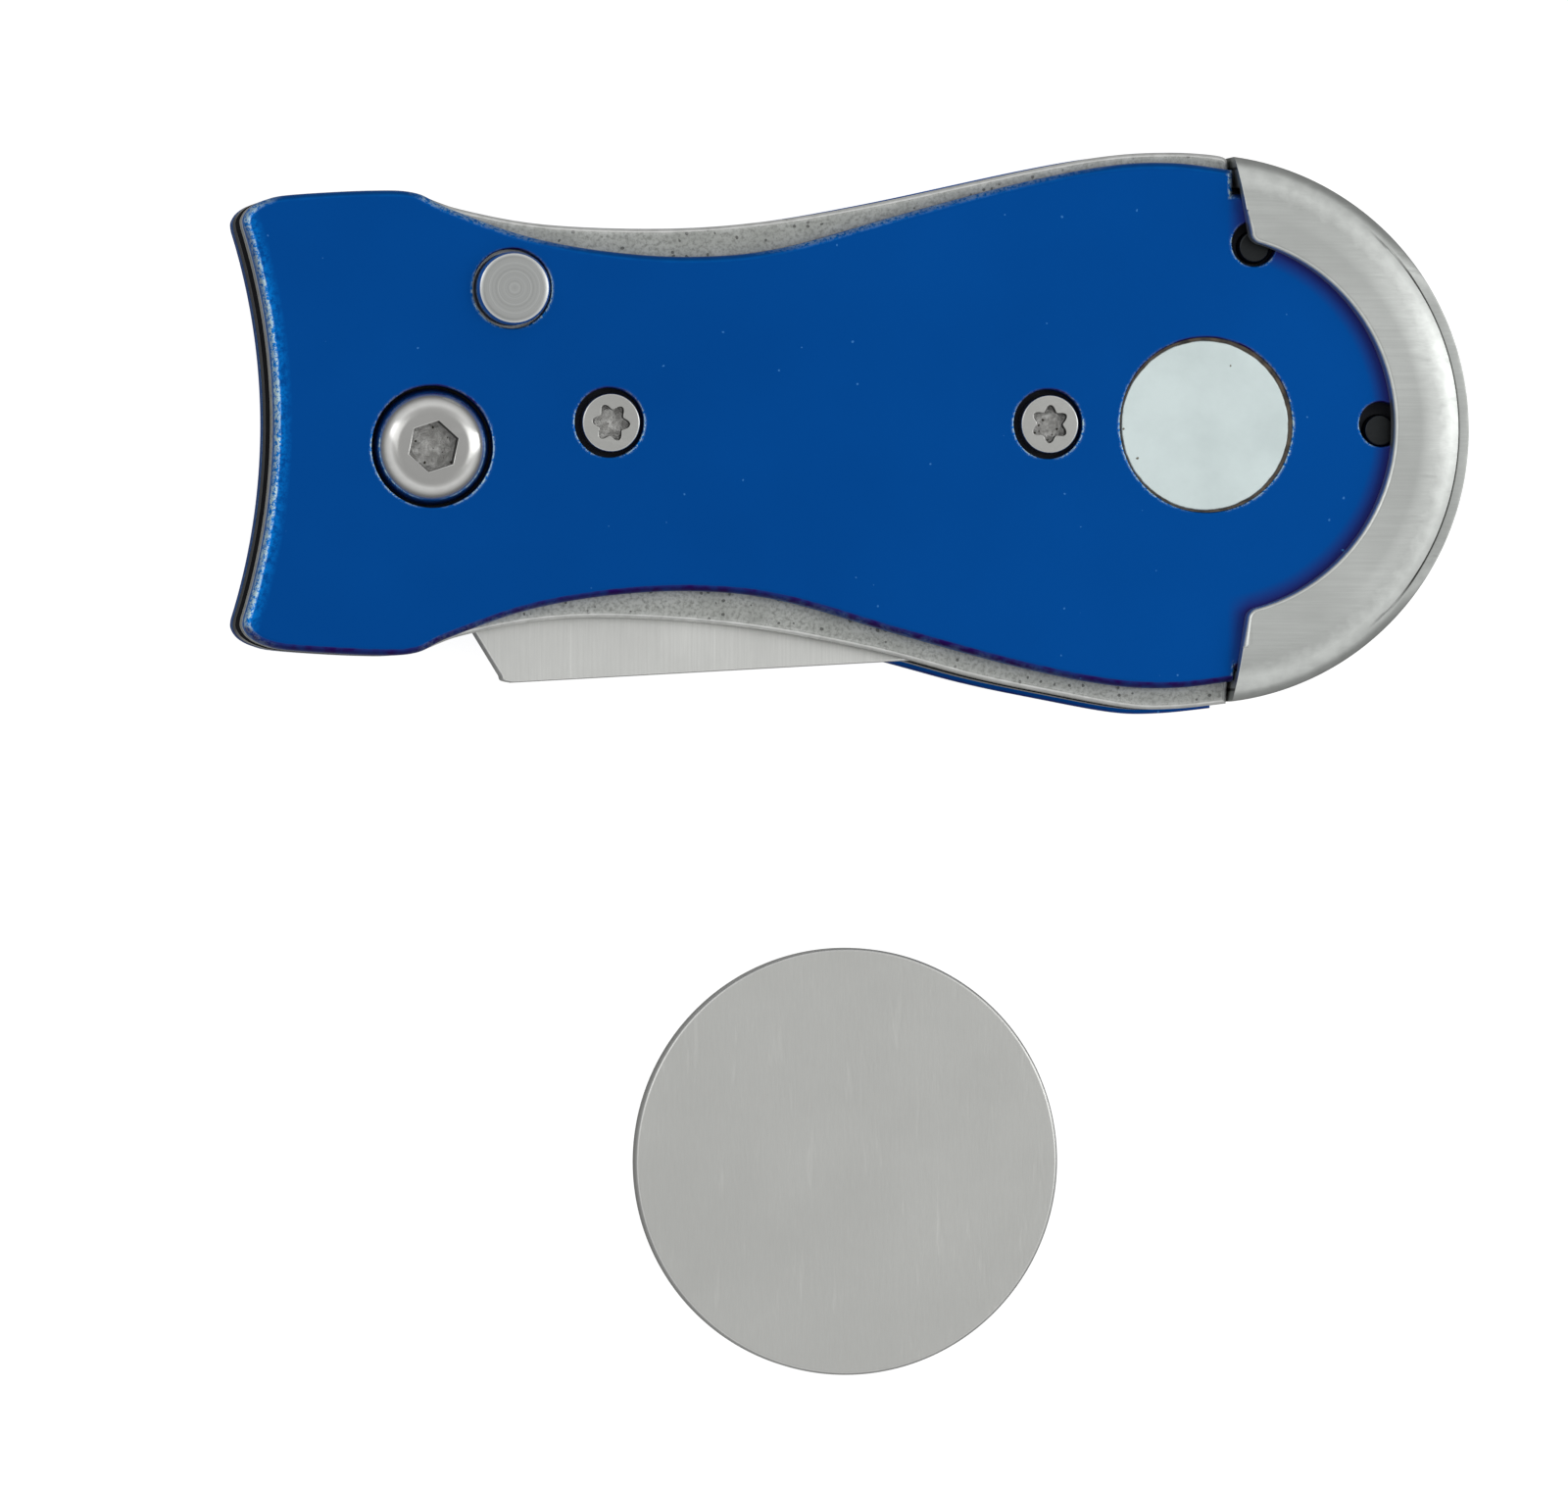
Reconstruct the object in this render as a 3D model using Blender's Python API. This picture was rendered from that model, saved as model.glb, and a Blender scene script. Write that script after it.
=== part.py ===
"""Folding divot repair tool with a loose ball marker.

Lengths are in millimetres and become metres where a mesh is made. The tool lies on its back cover:
+X points to the round magnet end, +Y to the side of the release button, +Z out of the front cover.
The fork swings in a slot of the casting, about the pivot, and out through the -Y side.
"""

import math

import bmesh
import bpy

MM = 0.001

# Layers, from the back cover's flat face upwards
BACK_COVER = (0.0, 1.3)
CASTING = (1.35, 6.95)
SLOT = (3.25, 5.65)
FORK = (3.55, 5.35)
FRONT_COVER = (7.0, 8.2)
GUARD_TOP = 9.4
EDGE_CHAMFER = 0.32
RUNNING_GAP = 0.05

# Places on the front face, as (x, y)
PIVOT = (-24.64, -1.37)
BUTTON = (-20.0, 7.78)
COVER_SCREWS = ((-14.2, 0.05), (11.55, 0.05))
MAGNET = (20.7, 0.0)
GUARD_CENTRE = (20.1, -0.2)
GUARD_PINS = ((23.7, 10.43), (31.15, -0.26))
PIN_HOLES = ((23.6, 10.6), (31.15, 0.1))
MARKER = (0.6, -43.0)
MARKER_SEAT, TURNOVER_HEIGHT = (15.8, 0.0), 4.9

# Radii
GUARD_RADIUS = 16.0
GUARD_FRONT_ARC = 11.0
GUARD_BACK_ARC = 9.05
NOSE_RADIUS = 14.25
MAGNET_RADIUS = 4.95
MARKER_RADIUS = 12.5
MARKER_THICKNESS = 1.5
BARREL_RADIUS = 2.2
PIN_RADIUS = 0.93
TAIL_CURVE = 37.7
TAIL_HALF_HEIGHT = 11.6

# Fork, in its own axes: u runs from the pivot to the tips, v runs across towards +Y
FORK_TILT = -5.0
FORK_STOP_ANGLE = 176.5
TANG_RADIUS = 7.4
TINE_END = 44.6
TINE_ROOT = 27.0
GAP_HALF_WIDTH = 4.6
SWEEP_RADIUS = 47.7
FORK_CLEARANCE = 0.4


# ---------------------------------------------------------------- outlines

def arc(centre, radius, start, end, steps):
    """Points of an arc from start to end, in degrees."""
    turns = (math.radians(start + (end - start) * i / steps) for i in range(steps + 1))
    return [(centre[0] + radius * math.cos(t), centre[1] + radius * math.sin(t)) for t in turns]


def smooth(points, per_span=4):
    """A smooth curve through the points, as a Catmull-Rom spline."""
    padded = [points[0], *points, points[-1]]
    curve = []
    for a, b, c, d in zip(padded, padded[1:], padded[2:], padded[3:]):
        for i in range(per_span):
            t = i / per_span
            curve.append(tuple(
                0.5 * (2 * q + (r - p) * t + (2 * p - 5 * q + 4 * r - s) * t * t
                       + (3 * q - p - 3 * r + s) * t ** 3)
                for p, q, r, s in zip(a, b, c, d)))
    return curve + [points[-1]]


def flipped(points):
    return [(x, -y) for x, y in points]


def moved(points, offset):
    return [(x + offset[0], y + offset[1]) for x, y in points]


def turned_by(points, degrees):
    c, s = math.cos(math.radians(degrees)), math.sin(math.radians(degrees))
    return [(x * c - y * s, x * s + y * c) for x, y in points]


def tail_end(left):
    """The hollow left end, from the upper corner to the lower one; left is its x at mid height."""
    centre = (left - TAIL_CURVE, 0.0)
    half = math.degrees(math.asin(TAIL_HALF_HEIGHT / TAIL_CURVE))
    return arc(centre, TAIL_CURVE, half, -half, 12)


def nose(upper, lower):
    """The round end under the guard, between two angles about the guard's centre."""
    return arc(GUARD_CENTRE, NOSE_RADIUS, lower, upper, 30)


TAIL_EDGE = [(-35.2, 12.35), (-34.3, 12.85), (-32.8, 13.15), (-28.2, 13.42), (-25.6, 13.3)]
COVER_EDGE = smooth(TAIL_EDGE + [
    (-23.6, 12.4), (-19.0, 10.8), (-14.0, 9.93), (-9.0, 9.7), (-4.1, 10.25),
    (2.8, 12.2), (9.7, 14.05), (15.0, 15.1), (18.8, 15.3), (22.0, 14.95)])
CASTING_EDGE = smooth(TAIL_EDGE + [
    (-22.8, 12.4), (-17.9, 11.55), (-11.0, 11.35), (-5.0, 11.8), (1.6, 12.95),
    (10.8, 14.95), (15.4, 15.75), (19.0, 15.95), (21.9, 15.75)])
LOWER_EDGE = smooth(flipped(TAIL_EDGE) + [
    (-22.8, -12.3), (-18.0, -11.4), (-13.0, -11.25), (-6.0, -11.8), (1.2, -13.1),
    (7.4, -14.7), (12.0, -15.65), (16.5, -16.45), (19.2, -16.5), (21.9, -16.25)])


def widened(edge, by):
    """The edge pushed outwards past the tail, for the back cover's lip."""
    return [(x, y + math.copysign(by, y) * min(1, max(0, (x + 24) / 10))) for x, y in edge]


def front_cover_outline():
    notch = [(22.0, 13.5), (GUARD_CENTRE[0] + 4.0, 13.5)]
    return (flipped(COVER_EDGE) + nose(74, -82) + notch[::-1] + COVER_EDGE[::-1] + tail_end(-33.8))


def casting_outline():
    return LOWER_EDGE + nose(82, -82) + CASTING_EDGE[::-1] + tail_end(-33.8)


def back_cover_outline():
    """As the casting, a little wider, and ending in a tongue inside the guard's back flange."""
    tongue = arc(MAGNET, GUARD_BACK_ARC - 0.1, -80, 80, 26)
    lower = widened(LOWER_EDGE, 0.25)
    upper = widened(CASTING_EDGE, 0.1)
    return lower + tongue + upper[::-1] + tail_end(-33.8)


def fork_outline():
    """The fork at rest, about its pivot: a wide shouldered plate that narrows into two tines."""
    lower_slope = -0.1444
    upper_corner = (9.3, 11.7)
    lower_end = -13.14 + lower_slope * -(TINE_END - 6.24)
    upper_end = upper_corner[1] - 0.117 * (TINE_END - upper_corner[0])
    tip = 1.15
    blade = [
        (5.6, -13.1), (6.24, -13.14),
        *arc((TINE_END, lower_end + tip), tip, -82, 60, 6),
        (TINE_ROOT, -GAP_HALF_WIDTH),
        *arc((TINE_ROOT, 0), GAP_HALF_WIDTH, 270, 90, 14)[1:],
        *arc((TINE_END, upper_end - tip), tip, -60, 82, 6),
        *arc((upper_corner[0] + 0.55, upper_corner[1] - 0.75), 0.7, 84, 140, 4),
    ]
    blade = turned_by(blade, FORK_TILT)
    wing = [(0.78, -7.38), (4.38, -13.23)]
    tang = arc((0, 0), TANG_RADIUS, 46.5, 276, 40)
    return wing + blade + tang[:-1]


def slot_outline():
    """What the fork and its swing need free, about the pivot."""
    stop = turned_by([(0.78, -7.38), (4.38, -13.23), (8.0, -19.1)], -FORK_STOP_ANGLE)
    tang_room = TANG_RADIUS + 0.6
    return [
        stop[2], stop[1],
        *arc((0, 0), tang_room, 98, 50, 12),
        (10.0, 11.35), (46.5, 3.85),
        *arc((0, 0), SWEEP_RADIUS, 4.4, -24, 14),
        (45, -40), (-40, -40), (-40, 25),
    ]


def lobed(radius, depth, turn, steps=36):
    """A six-lobed socket outline."""
    turns = [2 * math.pi * i / steps for i in range(steps)]
    return [((radius + depth * math.cos(6 * t)) * math.cos(t + math.radians(turn)),
             (radius + depth * math.cos(6 * t)) * math.sin(t + math.radians(turn))) for t in turns]


def hexagon(across_flats, turn):
    return arc((0, 0), across_flats / math.sqrt(3), turn, turn + 300, 5)


# ---------------------------------------------------------------- solids

def material(name, colour, metallic, roughness):
    made = bpy.data.materials.new(name)
    made.use_nodes = True
    shader = made.node_tree.nodes["Principled BSDF"]
    shader.inputs["Base Color"].default_value = (*colour, 1)
    shader.inputs["Metallic"].default_value = metallic
    shader.inputs["Roughness"].default_value = roughness
    return made


def object_of(name, mesh_maker, place, look=None):
    """A new object from a bmesh filled by mesh_maker, with its origin at place."""
    shape = bmesh.new()
    mesh_maker(shape)
    bmesh.ops.remove_doubles(shape, verts=shape.verts, dist=1e-7)
    bmesh.ops.recalc_face_normals(shape, faces=shape.faces)
    mesh = bpy.data.meshes.new(name)
    shape.to_mesh(mesh)
    shape.free()
    mesh.shade_smooth()
    mesh.set_sharp_from_angle(angle=math.radians(35))
    made = bpy.data.objects.new(name, mesh)
    made.location = [value * MM for value in place]
    bpy.context.collection.objects.link(made)
    if look:
        mesh.materials.append(look)
    return made


def inset(points, by):
    """The outline moved inwards, each point along the mean of its two sides' normals."""
    moved_in = []
    for before, here, after in zip(points[-1:] + points[:-1], points, points[1:] + points[:1]):
        dx, dy = after[0] - before[0], after[1] - before[1]
        length = math.hypot(dx, dy)
        moved_in.append((here[0] - by * dy / length, here[1] + by * dx / length))
    return moved_in


def plate(name, outline, z, look=None, place=(0, 0), low=0.0, high=0.0):
    """A flat plate between two heights; low and high chamfer its lower and upper edges."""
    levels = [(z[0], low), (z[0] + low, 0), (z[1] - high, 0), (z[1], high)]
    if not low:
        levels = levels[1:]
    if not high:
        levels = levels[:-1]

    def fill(shape):
        rings = []
        for height, by in levels:
            ring = inset(outline, by) if by else outline
            rings.append([shape.verts.new((x * MM, y * MM, height * MM)) for x, y in ring])
        for below, above in zip(rings, rings[1:]):
            for i in range(len(below)):
                j = (i + 1) % len(below)
                shape.faces.new((below[i], below[j], above[j], above[i]))
        shape.faces.new(rings[0][::-1])
        shape.faces.new(rings[-1])

    return object_of(name, fill, (*place, 0), look)


def turned(name, profile, place, look=None, steps=40):
    """A turned piece: profile is (radius, height) from the axis at the top round to the axis below."""
    def fill(shape):
        rows = []
        for radius, height in profile:
            if radius == 0:
                rows.append([shape.verts.new((0, 0, height * MM))])
                continue
            ring = arc((0, 0), radius, 0, 360 - 360 / steps, steps - 1)
            rows.append([shape.verts.new((x * MM, y * MM, height * MM)) for x, y in ring])
        if len(rows[0]) > 1:
            rows.append(rows[0])
        for upper, lower in zip(rows, rows[1:]):
            for i in range(steps):
                j = (i + 1) % steps
                corners = [upper[i % len(upper)], lower[i % len(lower)],
                           lower[j % len(lower)], upper[j % len(upper)]]
                distinct = list(dict.fromkeys(corners))
                if len(distinct) > 2:
                    shape.faces.new(distinct)

    return object_of(name, fill, (*place, 0), look)


def wire(name, points, radius, place, look, sides=2):
    """A closed round wire through the points."""
    curve = bpy.data.curves.new(name, "CURVE")
    curve.dimensions = "3D"
    curve.bevel_depth = radius * MM
    curve.bevel_resolution = sides
    curve.use_fill_caps = True
    spline = curve.splines.new("POLY")
    spline.points.add(len(points) - 1)
    for point, place_on_wire in zip(spline.points, points):
        point.co = (*[value * MM for value in place_on_wire], 1)
    curve.materials.append(look)
    made = bpy.data.objects.new(name, curve)
    made.location = (place[0] * MM, place[1] * MM, 0)
    bpy.context.collection.objects.link(made)
    return made


def cut(target, cutter):
    """Cuts cutter out of target and keeps it as a hidden helper."""
    cutter.hide_render = True
    cutter.display_type = "WIRE"
    step = target.modifiers.new("cut_" + cutter.name, "BOOLEAN")
    step.operation = "DIFFERENCE"
    step.solver = "EXACT"
    step.object = cutter


def hole(target, label, place, radius, z, steps=40):
    """A round hole or pocket between two heights."""
    outline = arc((0, 0), radius, 0, 360 - 360 / steps, steps - 1)
    cut(target, plate(f"{target.name}_{label}_cutter", outline, z, place=place))


# ---------------------------------------------------------------- the pieces

def make_casting(look):
    casting = plate("casting", casting_outline(), CASTING, look, low=0.2, high=0.2)
    cut(casting, plate("casting_slot_cutter", slot_outline(), SLOT, place=PIVOT))
    through = (CASTING[0] - 1, CASTING[1] + 1)
    hole(casting, "pivot", PIVOT, BARREL_RADIUS + RUNNING_GAP, through)
    hole(casting, "button_collar", BUTTON, 2.85, (5.45, through[1]))
    hole(casting, "button_stem", BUTTON, 1.65, (1.75, 5.6))
    hole(casting, "magnet_pocket", MAGNET, MAGNET_RADIUS + RUNNING_GAP, (6.1, through[1]), 64)
    for index, place in enumerate(COVER_SCREWS):
        hole(casting, f"screw_{index + 1}", place, 0.95, through, 24)
    for index, place in enumerate(GUARD_PINS):
        hole(casting, f"pin_{index + 1}", place, PIN_RADIUS + RUNNING_GAP, through, 24)
    well = arc((0, 0), 6.85, 0, 354, 59)
    ring = plate("casting_spring_well_cutter", well, (2.1, 3.6), place=PIVOT)
    hole(ring, "boss", PIVOT, 4.3, (1, 5))
    cut(casting, ring)
    slit = [(6.0, -0.5), (8.6, -0.5), (8.6, 0.5), (6.0, 0.5)]
    cut(casting, plate("casting_spring_slit_cutter", turned_by(slit, 150), (2.12, 3.58), place=PIVOT))
    return casting


def make_front_cover(look):
    cover = plate("front_cover", front_cover_outline(), FRONT_COVER, look, high=EDGE_CHAMFER)
    through = (FRONT_COVER[0] - 1, FRONT_COVER[1] + 1)
    hole(cover, "pivot", PIVOT, 3.53, through, 56)
    hole(cover, "button", BUTTON, 2.3, through)
    hole(cover, "magnet", MAGNET, 5.1, through, 64)
    for index, place in enumerate(COVER_SCREWS):
        hole(cover, f"screw_{index + 1}", (place[0] - 0.12, place[1]), 2.02, through, 36)
    for index, place in enumerate(PIN_HOLES):
        hole(cover, f"pin_{index + 1}", place, 1.31, through, 28)


def make_back_cover(look):
    cover = plate("back_cover", back_cover_outline(), BACK_COVER, look, low=EDGE_CHAMFER)
    through = (BACK_COVER[0] - 1, BACK_COVER[1] + 1)
    hole(cover, "pivot", PIVOT, 3.15, through, 56)
    for index, place in enumerate(COVER_SCREWS):
        hole(cover, f"screw_{index + 1}", place, 2.02, through, 36)


def make_fork(look):
    fork = plate("fork", fork_outline(), FORK, look, place=PIVOT, low=0.12, high=0.12)
    hole(fork, "pivot", PIVOT, BARREL_RADIUS + 0.07, (FORK[0] - 1, FORK[1] + 1))
    hole(fork, "spring_leg", spring_leg_place(), 0.45, (FORK[0] - 1, 4.7), 16)


def make_pivot(screw_look, nut_look, washer_look):
    head = [(0, 8.85), (1.7, 8.85), (2.35, 8.66), (2.9, 8.28), (3.25, 7.8), (3.4, 7.3), (3.4, 7.0)]
    screw = turned("pivot_screw", head + [(1.4, 7.0), (1.4, 2.2), (1.2, 2.0), (0, 2.0)],
                   PIVOT, screw_look, 48)
    cut(screw, plate("pivot_socket_cutter", hexagon(2.6, 18), (7.7, 9.6), place=PIVOT))
    nut = turned("pivot_nut", [
        (1.45, 6.9), (1.45, 1.0), (0, 1.0), (0, 0.1), (2.85, 0.1), (3.0, 0.25), (3.0, 1.3),
        (BARREL_RADIUS, 1.3), (BARREL_RADIUS, 6.9)][::-1], PIVOT, nut_look)
    slot = [(-2.2, -0.4), (2.2, -0.4), (2.2, 0.4), (-2.2, 0.4)]
    cut(nut, plate("pivot_nut_slot_cutter", turned_by(slot, 25), (-1, 0.6), place=PIVOT))
    for name, low in (("back_washer", SLOT[0] + RUNNING_GAP), ("front_washer", FORK[1] + RUNNING_GAP)):
        inner, outer, top = BARREL_RADIUS + RUNNING_GAP, 4.2, low + 0.2
        turned(name, [(inner, top), (outer, top), (outer, low), (inner, low)], PIVOT, washer_look)


def spring_leg_place():
    """Where the opening spring's moving leg stands up into the fork."""
    return moved(arc((0, 0), 5.0, 200, 200, 1), PIVOT)[0]


def make_opening_spring(look):
    """A flat coil in the casting's well: its outer leg lies in the slit, its inner leg stands in the fork."""
    inner, outer, low = 5.0, 6.3, 2.62
    first, last, steps = 200.0, 870.0, 52
    coil = []
    for i in range(steps + 1):
        share = i / steps
        angle = math.radians(first + (last - first) * share)
        radius = inner + (outer - inner) * share
        coil.append((radius * math.cos(angle), radius * math.sin(angle), low))
    leg = [(*coil[0][:2], 4.5), (*coil[0][:2], low + 0.45)]
    end = turned_by([(8.2, 0)], 150)[0]
    wire("opening_spring", leg + coil + [(*end, low)], 0.27, PIVOT, look)


def make_button(look, spring_look):
    turned("release_button", [
        (0, 9.3), (1.78, 9.3), (2.12, 8.98), (2.12, 6.95), (2.7, 6.95), (2.7, 6.55), (1.5, 6.55),
        (1.5, 3.1), (1.35, 2.95), (1.05, 2.95), (1.05, 6.0), (0, 6.0)], BUTTON, look)
    turns, steps, low, high, radius = 7, 12, 1.93, 5.85, 0.72
    coil = []
    for i in range(turns * steps + 1):
        angle = 2 * math.pi * i / steps
        height = low + (high - low) * i / (turns * steps)
        coil.append((radius * math.cos(angle), radius * math.sin(angle), height))
    wire("button_spring", coil, 0.13, BUTTON, spring_look, sides=1)


def make_cover_screws(look):
    turns = (-6, 28)
    for index, place in enumerate(COVER_SCREWS):
        front = turned(f"front_screw_{index + 1}", [
            (0, 8.1), (1.58, 8.1), (1.7, 7.98), (1.7, 7.0), (0.9, 7.0), (0.9, 5.85), (0.8, 5.75),
            (0, 5.75)], place, look, 36)
        back = turned(f"back_screw_{index + 1}", [
            (0, 3.15), (0.8, 3.15), (0.9, 3.05), (0.9, 1.3), (1.7, 1.3), (1.7, 0.22), (1.58, 0.1),
            (0, 0.1)], place, look, 36)
        for screw, z in ((front, (7.3, 9)), (back, (-1, 0.9))):
            socket = lobed(0.94, 0.17, turns[index])
            cut(screw, plate(screw.name + "_socket_cutter", socket, z, place=place))


def make_magnet(look):
    top, low, edge = 8.15, 6.15, 0.1
    turned("magnet", [
        (0, top), (MAGNET_RADIUS - edge, top), (MAGNET_RADIUS, top - edge), (MAGNET_RADIUS, low),
        (0, low)], MAGNET, look, 64)


def guard_section():
    """The guard's section, as (radius, height): a channel with a rounded front shoulder over a band."""
    cavity, inner = NOSE_RADIUS + 0.05, 7.0
    front = FRONT_COVER[1] + RUNNING_GAP
    back = BACK_COVER[1]
    shoulder = arc((13.8, GUARD_TOP - 1.45), 1.4, 90, 8, 8)
    return [
        (inner, GUARD_TOP), *shoulder, (15.2, 7.92), (15.32, 7.86),
        (15.75, 7.6), (GUARD_RADIUS, 7.1), (GUARD_RADIUS, 1.0), (15.75, 0.35), (15.3, 0.0),
        (inner, 0.0), (inner, back), (cavity, back), (cavity, front), (inner, front),
    ]


def make_guard(look):
    guard = turned("end_guard", guard_section(), GUARD_CENTRE, look, 96)
    far, deep = 30, 3
    front_edge = [
        (-far, far), (22.4, far), (22.5, 15.6), *arc((24.1, 11.7), 0.75, 195, 255, 4),
        *arc(MAGNET, GUARD_FRONT_ARC, 71, -73, 36), *arc((23.75, -11.2), 0.75, 105, 170, 4),
        (22.3, -16.2), (22.2, -far), (-far, -far)]
    back_edge = [
        (-far, far), (22.3, far), (22.3, 9.2), *arc(MAGNET, GUARD_BACK_ARC, 79, -79, 30), (22.3, -9.2),
        (22.3, -far), (-far, -far)]
    half = 4.5
    cut(guard, plate("guard_front_cutter", front_edge[::-1], (half, GUARD_TOP + deep)))
    cut(guard, plate("guard_back_cutter", back_edge[::-1], (-deep, half + 0.1)))
    for index, place in enumerate(GUARD_PINS):
        hole(guard, f"pin_{index + 1}", place, PIN_RADIUS + RUNNING_GAP, (0.5, 4), 24)


def make_guard_pins(look):
    for index, place in enumerate(GUARD_PINS):
        turned(f"guard_pin_{index + 1}", [
            (0, 7.75), (PIN_RADIUS - 0.15, 7.75), (PIN_RADIUS, 7.6), (PIN_RADIUS, 0.7),
            (PIN_RADIUS - 0.1, 0.6), (0, 0.6)], place, look, 24)


def make_ball_marker(look):
    """The loose disc, hung from an empty half-way to its seat on the magnet, where it turns over."""
    edge = 0.12
    marker = turned("ball_marker", [
        (0, MARKER_THICKNESS), (MARKER_RADIUS - edge, MARKER_THICKNESS),
        (MARKER_RADIUS, MARKER_THICKNESS - edge), (MARKER_RADIUS, edge), (MARKER_RADIUS - edge, 0),
        (0, 0)], MARKER, look, 96)
    turnover = bpy.data.objects.new("marker_turnover", None)
    half_way = [(rest + seat) / 2 * MM for rest, seat in zip(MARKER, MARKER_SEAT)]
    turnover.location = (*half_way, TURNOVER_HEIGHT * MM)
    turnover.empty_display_size = 0.005
    bpy.context.collection.objects.link(turnover)
    marker.location = [place - about for place, about in zip(marker.location, turnover.location)]
    marker.parent = turnover


def main():
    for old in list(bpy.data.objects):
        bpy.data.objects.remove(old)

    blue = material("blue_anodised", (0.0, 0.065, 0.28), 0.6, 0.42)
    zinc = material("cast_zinc", (0.31, 0.33, 0.3), 0.9, 0.5)
    brushed = material("brushed_steel", (0.42, 0.44, 0.42), 0.9, 0.38)
    polished = material("polished_steel", (0.55, 0.55, 0.54), 1.0, 0.2)
    dark = material("blackened_steel", (0.03, 0.033, 0.035), 0.8, 0.45)
    nickel = material("nickel_plate", (0.6, 0.68, 0.68), 0.6, 0.35)
    spring_steel = material("spring_steel", (0.4, 0.4, 0.39), 1.0, 0.3)
    bronze = material("bronze_washer", (0.45, 0.3, 0.14), 0.9, 0.35)

    make_casting(zinc)
    make_front_cover(blue)
    make_back_cover(blue)
    make_fork(brushed)
    make_pivot(polished, polished, bronze)
    make_opening_spring(spring_steel)
    make_button(polished, spring_steel)
    make_cover_screws(polished)
    make_magnet(nickel)
    make_guard(brushed)
    make_guard_pins(dark)
    make_ball_marker(brushed)


main()
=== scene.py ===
# %% [markdown]
# # A folding divot tool, one cell at a time
# The tool is a pocket fork for mending the dents that golf balls leave in a green. Its steel fork swings out
# of a slot in a zinc casting, between two blue covers. A round magnet holds a steel disc, the ball marker.
# This lesson models each visible piece with Blender's own edit-mode tools and gives each a metal finish.
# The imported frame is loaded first: it says where each piece sits and what moves with what.

# %% Load the frame
import math

import bmesh
import bpy
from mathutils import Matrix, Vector


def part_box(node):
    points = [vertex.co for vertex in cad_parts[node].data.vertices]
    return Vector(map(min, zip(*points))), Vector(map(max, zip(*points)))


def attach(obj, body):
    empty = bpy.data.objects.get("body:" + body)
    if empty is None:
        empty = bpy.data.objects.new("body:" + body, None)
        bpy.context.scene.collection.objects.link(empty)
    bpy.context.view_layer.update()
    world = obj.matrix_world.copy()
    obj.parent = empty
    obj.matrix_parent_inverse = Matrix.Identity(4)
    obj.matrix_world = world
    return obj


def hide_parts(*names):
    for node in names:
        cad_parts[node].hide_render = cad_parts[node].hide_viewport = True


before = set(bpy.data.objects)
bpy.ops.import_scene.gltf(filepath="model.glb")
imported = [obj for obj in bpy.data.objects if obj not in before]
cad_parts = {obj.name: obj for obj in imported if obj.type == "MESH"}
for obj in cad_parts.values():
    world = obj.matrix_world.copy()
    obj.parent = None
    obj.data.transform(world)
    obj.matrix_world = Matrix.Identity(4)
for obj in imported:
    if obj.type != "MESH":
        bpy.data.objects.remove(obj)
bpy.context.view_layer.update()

# %% [markdown]
# ## The bench
# Blender's operators round off below a thousandth of a unit. One could model in metres and raise every
# tolerance, or model large and shrink once. The second is simpler: on this bench one unit is a millimetre,
# and each finished piece is scaled down with its place kept in its mesh.

# %% Where things are, in millimetres
MM = 0.001


def corners(node):
    """The lowest and highest corner of a node, in millimetres."""
    low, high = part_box(node)
    return low / MM, high / MM


def middle(node):
    low, high = corners(node)
    return (low + high) / 2


def radius_of(node):
    low, high = corners(node)
    return (high.x - low.x) / 2


PIVOT, MAGNET, BUTTON = (middle(node).to_2d() for node in ("pivot_screw", "magnet", "release_button"))
COVER_LOW, COVER_TOP = (corner.z for corner in corners("front_cover"))
CASTING_LOW, CASTING_TOP = (corner.z for corner in corners("casting"))
BACK_TOP = corners("back_cover")[1].z
GUARD_TOP = corners("end_guard")[1].z
GAP = 0.05  # between pieces that touch
print("cover face at", round(COVER_TOP, 2), "guard face at", round(GUARD_TOP, 2))

# %% Where the holes are
SCREWS = [middle(f"front_screw_{i}").to_2d() for i in (1, 2)]
PINS = [middle(f"guard_pin_{i}").to_2d() for i in (1, 2)]
SCREW_HOLES = [(screw.x - 0.12, screw.y) for screw in SCREWS]
PIN_HOLES = [(23.6, 10.6), (31.15, 0.1)]
MAGNET_HOLE = (MAGNET.x + 0.07, MAGNET.y + 0.03)
SLOT_LOW, SLOT_HIGH = 3.25, 5.65
print("screws at", [tuple(round(v, 2) for v in s) for s in SCREWS])

# %% Where the tail, the nose and the guard are
TAIL_CURVE, TAIL_HALF_HEIGHT, TAIL_X = 37.7, 11.25, -33.8
TAIL_MIDDLE = (TAIL_X - TAIL_CURVE, 0)
NOSE_MIDDLE, NOSE_RADIUS = (20.1, -0.2), 14.25
GUARD_MIDDLE, GUARD_FLAT = (20.35, -0.2), 12.9
NOTCH = (23.4, 14.2)  # the corner between the cover's upper edge and the guard
print("the tail curves round", TAIL_MIDDLE, "and the guard round", GUARD_MIDDLE)

# %% [markdown]
# ## Small habits that every piece needs
# Operators act on all that is selected, so each step starts by selecting one object, and faces or edges are
# then picked in code by where they are. Rims are found by the angle between their two faces, which skips
# the flat joins that a Boolean leaves across a face.

# %% Selecting, by object, face and rim


def only(piece):
    bpy.ops.object.select_all(action="DESELECT")
    piece.select_set(True)
    bpy.context.view_layer.objects.active = piece


def edit(piece, kind):
    """Opens a piece in edit mode with nothing selected, and returns its shape."""
    only(piece)
    bpy.ops.object.mode_set(mode="EDIT")
    bpy.ops.mesh.select_mode(type=kind)
    bpy.ops.mesh.select_all(action="DESELECT")
    return bmesh.from_edit_mesh(piece.data)


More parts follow.
